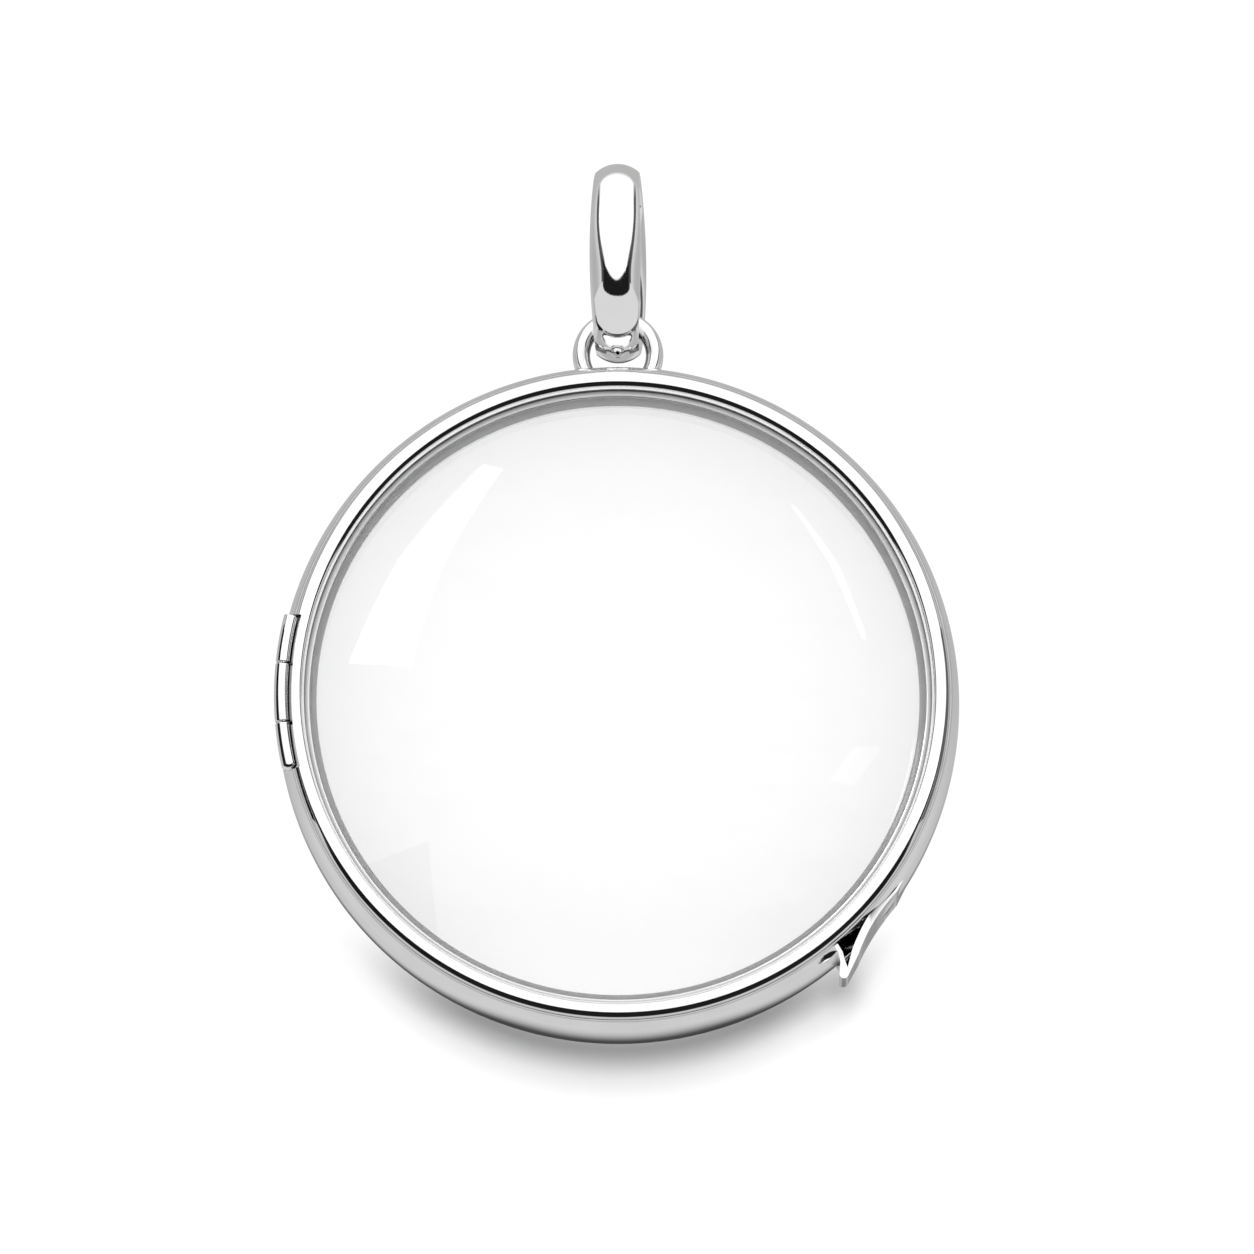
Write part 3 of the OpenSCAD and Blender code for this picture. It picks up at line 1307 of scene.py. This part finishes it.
    def _pin(self) -> None:
        """The pin, with turned ends."""
        s = self.shop.sizes
        half = self.pin_length / 2
        line = [(0, half), (self.pin_r - self.pin_chamfer, half), (self.pin_r, half - self.pin_chamfer)]
        line += [(r, -z) for r, z in reversed(line)]
        mesh = revolve("hinge_pin_rod", line, 48)
        middle = (self.pin_inset - s.barrel_mid_r, s.hinge_up, s.barrel_z)
        mesh.transform(Matrix.Translation(middle) @ Matrix.Rotation(math.pi / 2, 4, "X"))
        self.shop.finish_piece(add_object("hinge_pin_rod", mesh), Body.CASE, Slot.SILVER, ["hinge_pin"])


@dataclass
class LidBezel:
    """The lid's crowned bezel with its lip, seat and skirt."""

    shop: Workshop
    relief: float = 0.29
    skirt_drop: float = 0.22

    def outline(self) -> list[Point]:
        """Section of the lid.

        Returns:
            The points of its outline.
        """
        s = self.shop.sizes
        under = s.ledge_top - self.skirt_drop
        corners = [(s.ledge_r, under, 0.05), (s.skirt_r, under, 0.05), (s.skirt_r, s.seam_z, 0)]
        corners += s.crown_line(Side.FRONT)
        corners += s.seat_line(Side.FRONT)
        return rounded(corners)

    def build(self) -> None:
        """Builds the bezel and dresses it."""
        s = self.shop.sizes
        bezel = self.shop.sweep.make("lid_bezel", self.outline(), self.shop.silver, s.seam_r)
        hinge = HingeBarrel(self.shop)
        combine(bezel, hinge.notch("lid_notch", s.seam_r - self.relief, 0), Cut.OFF)
        self.shop.finish_piece(bezel, Body.LID, Slot.SILVER, ["lid"])


@dataclass
class GlassDome:
    """A domed glass of even thickness with a ground rim."""

    shop: Workshop
    side: Side
    thickness: float = 0.7
    gap: float = 0.03
    rim_inset: float = 0.05
    foot_out: float = 0.06
    rounding: float = 0.05
    rings: int = 56

    def line(self) -> list[Point]:
        """Section of the glass.

        Returns:
            Its points from the crown over the rim to the middle of the inside.
        """
        s = self.shop.sizes
        rim_r, rim_under = s.seat_r - self.rim_inset, s.ledge_top + self.gap
        foot_r, in_crown = s.ledge_r + self.foot_out, s.crown - self.thickness
        in_dome = dome_radius(foot_r, in_crown - rim_under)
        near = 0.3
        rim = rounded(
            [
                (rim_r - near, s.glass_depth(rim_r - near), 0),
                (rim_r, s.glass_depth(rim_r), self.rounding),
                (rim_r, rim_under, self.rounding),
                (foot_r, rim_under, self.rounding / 2),
                (foot_r - near, dome_depth(in_crown, in_dome, foot_r - near), 0),
            ]
        )
        apart = 0.01
        out_end, in_end = rim[0][0] - apart, rim[-1][0] - apart
        outer = [rim_r * k / self.rings for k in range(self.rings)]
        inner = [foot_r * k / self.rings for k in range(self.rings, -1, -1)]
        outside = [(r, s.glass_depth(r)) for r in outer if r < out_end]
        return outside + rim + [(r, dome_depth(in_crown, in_dome, r)) for r in inner if r < in_end]

    def build(self) -> None:
        """Builds the glass and dresses it."""
        front = self.side is Side.FRONT
        node = "front_glass" if front else "back_glass"
        mesh = revolve(node + "_dome", [(r, self.side.value * z) for r, z in self.line()], 256)
        body = Body.LID if front else Body.CASE
        self.shop.finish_piece(add_object(mesh.name, mesh), body, Slot.GLASS, [node])


@dataclass
class Beak:
    """Hollow thumb beak that peels off the band and flares outwards."""

    shop: Workshop
    reach: float = 1.14
    wall: float = 0.33
    tip_r: float = 0.2
    tip_angle: float = -51.6
    arc_middle: Point = (19.2, -14.7)
    arc_r: float = 9.2
    arc_span: Point = (139, 160.5)
    end: Point = (12.72, -7.72)
    taper_from: Point = (11.1, -10.3)
    taper_depth: float = 0.75
    front_drop: float = 0.15
    root_lift: float = 0.5
    tip_depth: float = 1.25
    far: float = 1.6
    root: tuple[Point, ...] = ((9.74, -11.95), (9.66, -11.55), (9.45, -11.2), (11.6, -8.4))
    hollow_root: tuple[Point, ...] = (
        (10.06, -12.2),
        (9.93, -11.85),
        (9.84, -11.5),
        (9.6, -11.1),
        (11.4, -8.9),
    )

    def outline(self) -> list[Point]:
        """Outline of the whole beak, with its round tip.

        Returns:
            The points of the outline.
        """
        tip = polar(self.shop.sizes.case_r + self.reach - self.tip_r, self.tip_angle)
        flank = arc(self.arc_middle, self.arc_r, *self.arc_span, 40)
        nose = arc(tip, self.tip_r, -18, -180, 14)
        return [self.end] + flank + nose + list(self.root)

    def hollow(self) -> list[Point]:
        """Outline of the slit and hollow between the beak's walls."""
        first, last = self.arc_span
        return arc(self.arc_middle, self.arc_r + self.wall, first, last - 1, 40) + list(self.hollow_root)

    def _depth(self, name: str, lift: float) -> bpy.types.Object:
        """The room between the beak's front and its sloping back.

        Args:
            name: Name of the new object.
            lift: How far the room is raised.

        Returns:
            The new object.
        """
        s = self.shop.sizes
        front, far_r = s.seam_z - self.front_drop, s.case_r + self.far
        root_back, tip_back = self.root_lift - s.seam_z, s.seam_z - self.tip_depth
        back = [(s.wall_r, root_back), (s.case_r, root_back), (far_r, tip_back)]
        raised = [(r, z + lift) for r, z in back + [(far_r, front), (s.wall_r, front)]]
        return self.shop.sweep.make(name, raised, self.shop.silver, s.case_r, (-75, -15), 240)

    def _taper(self) -> bpy.types.Object:
        """Wedge that lowers the beak's front towards its upper end, where it meets the band.

        Returns:
            The wedge.
        """
        start, end = Vector((*self.taper_from, 0)), Vector((*self.end, 0))
        front, past = self.shop.sizes.seam_z - self.front_drop, 1.2
        far = past * (end - start).length
        outline = [(0, front), (far, front - past * self.taper_depth), (far, front + 1), (0, front + 1)]
        wedge = prism("beak_taper", outline, -2, 2)
        along, up = (end - start).normalized(), Vector((0, 0, 1))
        turned = Matrix((along, up, along.cross(up))).transposed().to_4x4()
        wedge.data.transform(Matrix.Translation(start) @ turned)
        return wedge

    def build(self) -> None:
        """Builds the beak and dresses it."""
        deep = 3 * self.shop.sizes.seam_z
        beak = prism("beak", self.outline(), -deep, deep)
        combine(beak, self._depth("beak_depth", 0), Cut.SHARED)
        hollow = prism("beak_hollow", self.hollow(), -deep, deep)
        combine(hollow, self._depth("hollow_depth", self.wall), Cut.SHARED)
        combine(beak, hollow, Cut.OFF)
        combine(beak, self._taper(), Cut.OFF)
        soften_edges(beak, 0.06, 3, 38)
        self.shop.finish_piece(beak, Body.CASE, Slot.SILVER, ["case"])
        self._paint_hollow_shade(beak)

    def _paint_hollow_shade(self, beak: bpy.types.Object) -> None:
        """Marks the floor and the walls of the hollow, away from its rim, for painted shade.

        Args:
            beak: The finished beak.
        """
        rim, close = self.shop.sizes.seam_z - 0.2, 0.04
        line = [Vector((*p, 0)) for p in self.hollow()]
        flat = self.shop.face_on.inverted()
        marks = beak.data.attributes["recess"].data
        for vertex, mark in zip(beak.data.vertices, marks):
            x, y, z = flat @ vertex.co
            here = Vector((x, y, 0))
            near = (intersect_point_line(here, line[i - 1], line[i]) for i in range(len(line)))
            away = min(((here - point).length for point, share in near if -0.1 < share < 1.1), default=1.0)
            # Painted shade: the hollow's floor and walls are darkened as if in shadow.
            if z < rim and away < close:
                mark.value = 1.0


@dataclass
class JumpRing:
    """Round wire ring soldered upright on the band, with painted shade inside and at its foot."""

    shop: Workshop
    outer_d: float = 4.0
    wire: float = 0.77
    sunk: float = 1.23
    inner_shade: float = 0.8
    foot_depth: float = 0.45

    @property
    def middle_r(self) -> float:
        """Radius of the middle of the wire."""
        return (self.outer_d - self.wire) / 2

    @property
    def up(self) -> float:
        """Height of the ring's middle above the middle of the case."""
        return self.shop.sizes.case_r + self.outer_d / 2 - self.sunk

    def build(self) -> None:
        """Builds the ring and dresses it."""
        s, sides = self.shop.sizes, 48
        outline = arc((self.middle_r, 0), self.wire / 2, 0, 360 - 360 / sides, sides - 1)
        ring = self.shop.sweep.make("jump_ring", outline, self.shop.silver, self.middle_r, None, 192)
        ring.data.transform(Matrix.Translation((0, self.up, 0)))
        within_band = arc((0, 0), s.case_r - self.foot_depth, 0, 359, 359)
        inside = prism("ring_foot", within_band, -self.wire, self.wire)
        combine(ring, inside, Cut.OFF)
        self.shop.finish_piece(ring, Body.CASE, Slot.SILVER, ["case"])
        self._darken(ring)

    def _darken(self, ring: bpy.types.Object) -> None:
        """Marks the inside of the ring and its soldered foot for painted shade.

        Args:
            ring: The finished ring.
        """
        s = self.shop.sizes
        fillet, sharpness = 0.15, 6
        hole = self.shop.face_on @ Vector((0, self.up, 0))
        for vertex, mark in zip(ring.data.vertices, ring.data.attributes["recess"].data):
            x, z = (vertex.co.x - hole.x) / MM, (vertex.co.z - hole.z) / MM
            inwards = (self.middle_r - math.hypot(x, z)) / (self.wire / 2)
            foot = s.case_r + fillet - (vertex.co.z / MM - s.middle_z)
            # Painted shade: darker towards the inside of the ring and where it meets the band.
            mark.value = min(1.0, max(0.0, self.inner_shade * inwards, sharpness * foot))


@dataclass
class Bail:
    """Oval loop of a crowned band, in four arcs, widest at half height."""

    shop: Workshop
    height: float = 8.92
    depth: float = 5.6
    end_r: float = 2.3
    width: float = 2.24
    thickness: float = 1.35
    turn: float = 3.5
    crown_out: float = 1.4
    crown_in: float = 1.5
    lens_r: float = 44.0
    edge_r: float = 0.1

    def _half_width(self, height: float) -> float:
        """Half the band's width at a height above the middle."""
        return math.sqrt(self.lens_r**2 - height**2) - (self.lens_r - self.width / 2)

    def _section(self, half: float) -> list[Point]:
        """Section of the band.

        Args:
            half: Half its width.

        Returns:
            Sideways place and depth under the outermost point, of each point in turn.
        """
        across = 28
        outer, inner = [], []
        for k in range(across + 1):
            x = half * math.sin(math.pi * (k / across - 0.5))
            outer.append((x, self.crown_out - math.sqrt(self.crown_out**2 - x**2)))
            inner.append((-x, self.thickness - self.crown_in + math.sqrt(self.crown_in**2 - x**2)))
        return outer + inner

    def _stations(self) -> list[tuple[Vector, Vector]]:
        """Stations along the band in the side view.

        Returns:
            Outermost point and outward direction at each.
        """
        end_z, half = self.height / 2 - self.end_r, self.depth / 2
        side_r = (half**2 + end_z**2 - self.end_r**2) / (2 * (half - self.end_r))
        turn = math.degrees(math.atan(end_z / (side_r - half)))
        arcs = (
            ((half - side_r, 0.0), side_r, -turn, turn, 60),
            ((0.0, end_z), self.end_r, turn, 180 - turn, 72),
            ((side_r - half, 0.0), side_r, 180 - turn, 180 + turn, 60),
            ((0.0, -end_z), self.end_r, 180 + turn, 360 - turn, 72),
        )
        made = []
        for middle, radius, start, end, steps in arcs:
            for k in range(steps):
                out = polar(1, start + (end - start) * k / steps)
                made.append((Vector(middle) + out * radius, out))
        return made

    def build(self) -> None:
        """Builds the bail and dresses it."""
        points: list[tuple[float, float, float]] = []
        stations = self._stations()
        for outermost, out in stations:
            half = self._half_width(outermost.y - out.y * self.thickness / 2)
            for x, under in self._section(half):
                place = outermost - out * under
                points.append((x, place.x, place.y))
        count = len(points) // len(stations)
        faces = ring_faces(len(stations), count, closed=True)
        obj = add_object("bail_loop", mesh_of("bail_loop", points, faces))
        soften_edges(obj, self.edge_r, 4, 30)
        hung = -(self.height - 2 * self.thickness) / 2
        turned = Matrix.Rotation(math.radians(-self.turn), 4, "Z")
        place = Matrix.Scale(MM, 4) @ Matrix.Translation((0, 0, hung)) @ turned
        self.shop.finish_piece(obj, Body.BAIL, Slot.SILVER, ["bail"], place)


@dataclass
class Studio:
    """Camera, pale wall and floor, lamps and the room that the metal mirrors."""

    PANELS = (
        (
            "panel_left",
            5.0,
            (
                ((-0.237, -0.684, 0.69), (-0.278, -0.66, 0.697)),
                ((-0.372, -0.78, 0.505), (-0.468, -0.726, 0.502)),
                ((-0.461, -0.846, 0.271), (-0.584, -0.759, 0.284)),
            ),
        ),
        (
            "panel_right",
            5.0,
            (
                ((0.367, -0.696, 0.617), (0.36, -0.70, 0.617)),
                ((0.468, -0.735, 0.501), (0.45, -0.745, 0.501)),
                ((0.54, -0.772, 0.337), (0.53, -0.78, 0.337)),
            ),
        ),
        (
            "panel_low",
            1.8,
            (
                ((0.587, -0.804, 0.097), (0.53, -0.845, 0.09)),
                ((0.53, -0.848, 0.0), (0.48, -0.877, 0.01)),
            ),
        ),
    )

    FLAGS = (
        ("low_flag", -60, (-110, -30), (-90, -45), 0.01),
        ("left_flag", -30, (-13, -2), (-32, -13), 0.01),
        ("right_flag", 30, (-13, -2), (-32, -13), 0.12),
    )
    LAMPS = (("key_lamp", 10.4, 50.0, 3.7), ("low_lamp", 8.3, 115.0, 3.9))

    sizes: Measures
    camera_elevation: float = -12.6
    camera_distance: float = 1200.0
    view_width: float = 55.12
    sensor: float = 36.0
    aim_right: float = 0.396
    aim_up: float = 3.43
    panel_distance: float = 900.0
    bail_z: float = -3.0
    card_rise: float = -0.2
    card_y: Point = (-11.0, -2.5)
    card_half: float = 30.0
    card_flare: float = 0.018
    card_steps: int = 16
    card_light: float = 0.72
    lamp_distance: float = 1970.0
    cone_r: float = 600.0
    fade_z: float = -31.0
    fade: float = 5.0
    strip_z: float = -37.0
    glow: float = 1.04
    paper: float = 0.14
    wall_y: float = 30.0
    wall_top: float = 260.0
    wall_half: float = 400.0
    sweep_r: float = 25.0
    floor_z: float = -62.0
    floor_front: float = -50.0

    def build(self) -> None:
        """Builds everything that isn't part of the locket."""
        bpy.context.scene.view_settings.view_transform = "Standard"
        self._camera()
        self._backdrop()
        self._panels()
        self._world()

    def _camera(self) -> None:
        """Camera at the photo's angle, a little below the locket."""
        rise = math.radians(self.camera_elevation)
        back = Vector((0, -math.cos(rise), math.sin(rise)))
        up = Vector((0, math.sin(rise), math.cos(rise)))
        aim = Vector((self.aim_right, 0, self.sizes.middle_z)) + up * self.aim_up
        data = bpy.data.cameras.new("camera")
        data.sensor_width = self.sensor
        data.lens = data.sensor_width * self.camera_distance / self.view_width
        data.clip_start, data.clip_end = 0.01, 10.0
        camera = bpy.data.objects.new("camera", data)
        place_facing(camera, aim + back * self.camera_distance, -back)
        bpy.context.scene.camera = camera

    def _backdrop(self) -> None:
        """Wall and floor in one sheet, seen from its front alone, with lamps that light nothing else."""
        line = [(self.wall_y, self.wall_top)]
        line += arc((self.wall_y - self.sweep_r, self.floor_z + self.sweep_r), self.sweep_r, 0, -90, 12)
        line += [(self.floor_front, self.floor_z)]
        points = [(x * MM, y * MM, z * MM) for y, z in line for x in (-self.wall_half, self.wall_half)]
        faces = [(2 * i, 2 * i + 2, 2 * i + 3, 2 * i + 1) for i in range(len(line) - 1)]
        mesh = bpy.data.meshes.new("backdrop")
        mesh.from_pydata(points, [], faces)
        mesh.shade_smooth()
        mesh.materials.append(self._paper())
        wall = add_object("backdrop", mesh)
        wall.visible_glossy = False
        wall.visible_diffuse = False
        lit = bpy.data.collections.new("lit_by_wall_lamps")
        lit.objects.link(wall)
        for name, below, radius, level in self.LAMPS:
            self._wall_lamp(name, lit, below, radius, level)

    def _paper(self) -> bpy.types.Material:
        """White paper with a faint tooth, clear from behind.

        It glows, but for a matt strip that takes the shadow.

        Returns:
            The material.
        """
        material, shader = new_material("white_paper")
        material.cycles.emission_sampling = "NONE"
        place = shader.place()
        tooth = shader.blend(shader.noise(place, 900.0, 4.0), 0.97, 1.0)
        matt = shader.node("ShaderNodeBsdfDiffuse", Color=shader.grey(shader.product(tooth, self.paper)))
        glow = shader.node("ShaderNodeEmission", Color=shader.grey(tooth), Strength=self.glow)
        height = shader.node("ShaderNodeSeparateXYZ", Vector=place).outputs["Z"]
        above = shader.step(height, self.fade_z * MM, (self.fade_z + self.fade) * MM)
        below = shader.step(height, self.strip_z * MM, (self.strip_z - self.fade / 2) * MM)
        front = shader.blend_shaders(shader.math("ADD", above, below), matt, glow)
        self._clear_behind(shader, front)
        return material

    def _clear_behind(self, shader: Shader, front: bpy.types.Node) -> None:
        """Ends a sheet's material.

        Args:
            shader: The material's shader.
            front: Shader node of the sheet's front; its back is clear.
        """
        clear = shader.node("ShaderNodeBsdfTransparent")
        behind = shader.node("ShaderNodeNewGeometry").outputs["Backfacing"]
        sheet = shader.blend_shaders(behind, front, clear)
        shader.node("ShaderNodeOutputMaterial", Surface=sheet.outputs[0])

    def _wall_lamp(
        self, name: str, lit: bpy.types.Collection, below: float, radius: float, level: float
    ) -> None:
        """A soft spot in front that lights the wall alone.

        Args:
            name: Name of the lamp.
            lit: The collection that it lights.
            below: Angle in degrees at which it stands under the horizon.
            radius: Its radius in millimetres.
            level: Brightness that it gives the wall, where 1 is white.
        """
        turn = math.radians(below)
        way = Vector((0, -math.cos(turn), -math.sin(turn)))
        place = Vector((0, 0, self.sizes.middle_z)) + way * self.lamp_distance
        data = bpy.data.lights.new(name, "SPOT")
        data.spot_size = 2 * math.atan(self.cone_r / self.lamp_distance)
        data.spot_blend = 0.1
        data.energy = level * 4 * math.pi**2 * ((self.lamp_distance + self.wall_y) * MM) ** 2
        data.shadow_soft_size = radius * MM
        lamp = bpy.data.objects.new(name, data)
        place_facing(lamp, place, Vector((0, self.wall_y, self.fade_z)) - place)
        lamp.visible_camera = False
        lamp.visible_glossy = False
        lamp.visible_transmission = False
        lamp.light_linking.receiver_collection = lit

    def _panels(self) -> None:
        """Bright panels that the glass mirrors, dark flags at the sides and a pale card under the bail."""
        middle = Vector((0, 0, self.sizes.middle_z))
        for name, light, pairs in self.PANELS:
            rows = [[middle + Vector(d).normalized() * self.panel_distance for d in pair] for pair in pairs]
            self._card(name, rows, light)
        for name, x, depths, heights, light in self.FLAGS:
            self._card(name, [[(x, y, z) for y in depths] for z in heights], light)
        z = middle.z + self.sizes.case_r + self.card_rise
        far, near = self.card_y
        across = [self.card_half * (2 * k / self.card_steps - 1) for k in range(self.card_steps + 1)]
        rows = [[(x, far - self.card_flare * x**2, z), (x, near, z)] for x in across]
        self._card("card", rows, self.card_light)

    def _card(self, name: str, rows: Sequence[Sequence[Sequence[float]]], light: float) -> None:
        """A strip that only mirrors show, lit on its front alone.

        Args:
            name: Name of the strip.
            rows: Pairs of points along it, in millimetres.
            light: Its brightness, where 1 is white. Its front faces the bail.
        """
        points = [Vector(p) * MM for row in rows for p in row]
        faces = [(2 * i, 2 * i + 1, 2 * i + 3, 2 * i + 2) for i in range(len(rows) - 1)]
        across = (points[1] - points[0]).cross(points[2] - points[0])
        if across.dot(Vector((0, 0, self.bail_z)) * MM - points[0]) < 0:
            faces = [face[::-1] for face in faces]
        mesh = bpy.data.meshes.new(name)
        mesh.from_pydata(points, [], faces)
        mesh.materials.append(self._shine(light))
        card = add_object(name, mesh)
        card.visible_camera = False
        card.visible_diffuse = False
        card.visible_transmission = False
        card.visible_shadow = False

    def _shine(self, strength: float) -> bpy.types.Material:
        """Light of a card's front.

        Args:
            strength: Its brightness, where 1 is white.

        Returns:
            The material.
        """
        material, shader = new_material("card_light")
        material.cycles.emission_sampling = "NONE"
        light = shader.node("ShaderNodeEmission", Color=(1.0, 1.0, 1.0, 1.0), Strength=strength)
        self._clear_behind(shader, light)
        return material

    def _world(self) -> None:
        """White room; the metal mirrors a tent with a black floor in front and grey behind."""
        world = bpy.data.worlds.new("room")
        bpy.context.scene.world = world
        world.use_nodes = True
        world.cycles.sampling_method = "NONE"
        shader = Shader(world.node_tree)
        way = shader.node("ShaderNodeTexCoord").outputs["Generated"]
        x, y, z = shader.node("ShaderNodeSeparateXYZ", Vector=way).outputs
        side = shader.math("ABSOLUTE", x)
        before, behind = self._tent_before(shader, side, y, z), self._tent_behind(shader, side, y, z)
        depth = shader.add_scaled(y, shader.step(z, -0.3, -0.6), 0.4)
        tone = shader.blend(shader.step(depth, -0.02, 0.24), before, behind)
        rays = shader.node("ShaderNodeLightPath").outputs
        white = 1.0
        tone = shader.blend(shader.step(rays["Glossy Depth"], 0.0, 1.0), white, tone)
        tone = shader.blend(shader.step(rays["Transmission Depth"], 0.0, 1.0), tone, white)
        tone = shader.blend(shader.product(rays["Is Singular Ray"], rays["Is Reflection Ray"]), tone, white)
        light = shader.node("ShaderNodeBackground", Color=shader.grey(tone), Strength=1.0)
        shader.node("ShaderNodeOutputWorld", Surface=light.outputs[0])

    def _tent_behind(self, shader: Shader, side: Socket, y: Socket, z: Socket) -> Socket:
        """Grey of the tent behind the locket, with a dark spot low in its middle.

        Args:
            shader: The world's shader.
            side: Sideways part of the direction, without its sign.
            y: Part of the direction away from the camera's side.
            z: Upward part of the direction.

        Returns:
            The tone.
        """
        lower_grey, upper_grey, dark = 0.64, 0.50, 0.06
        grey = shader.blend(shader.step(z, -0.3, 0.3), lower_grey, upper_grey)
        heights = (shader.step(z, -0.42, -0.08), shader.step(z, 0.2, 0.1))
        spot = shader.product(*heights, shader.step(side, 0.25, 0.10), shader.step(y, 0.80, 0.90))
        return shader.blend(spot, grey, dark)

    def _tent_before(self, shader: Shader, side: Socket, y: Socket, z: Socket) -> Socket:
        """Tent in front of the locket: grey flanks, a white band, a thin dark line and a black floor.

        Args:
            shader: The world's shader.
            side: Sideways part of the direction, without its sign.
            y: Part of the direction away from the camera's side.
            z: Upward part of the direction.

        Returns:
            The tone.
        """
        front_grey, flank_grey, band_white, line_black, floor_black = 0.72, 0.46, 1.12, 0.03, 0.012
        level = shader.product(shader.step(z, 0.55, 0.0), shader.step(z, -0.35, -0.15))
        edge = shader.add_scaled(y, shader.product(z, z), -0.7)
        edge = shader.add_scaled(edge, level, 0.34)
        flank = shader.blend(shader.step(edge, -0.3, 0.1), front_grey, flank_grey)
        flank = shader.blend(shader.step(edge, -0.40, -0.36), band_white, flank)
        outside = shader.add_scaled(edge, level, -0.03)
        line = shader.product(shader.step(edge, -0.46, -0.42), shader.step(outside, -0.24, -0.29))
        line = shader.product(line, shader.step(z, 0.8, 0.6), 0.92)
        flank = shader.blend(line, flank, line_black)
        height = shader.add_scaled(z, shader.product(side, side), -0.5)
        floor = shader.product(shader.step(height, -0.13, -0.16), shader.step(edge, -0.30, -0.38))
        return shader.blend(floor, flank, floor_black)


def main() -> None:
    """Builds the locket and the studio."""
    logging.basicConfig(level=logging.INFO, format="%(message)s")
    shop = Workshop()
    CaseBand(shop).build()
    LidBezel(shop).build()
    HingeBarrel(shop).build()
    Beak(shop).build()
    JumpRing(shop).build()
    for side in Side:
        GlassDome(shop, side).build()
    Bail(shop).build()
    Studio(shop.sizes).build()


if __name__ == "__main__":
    main()
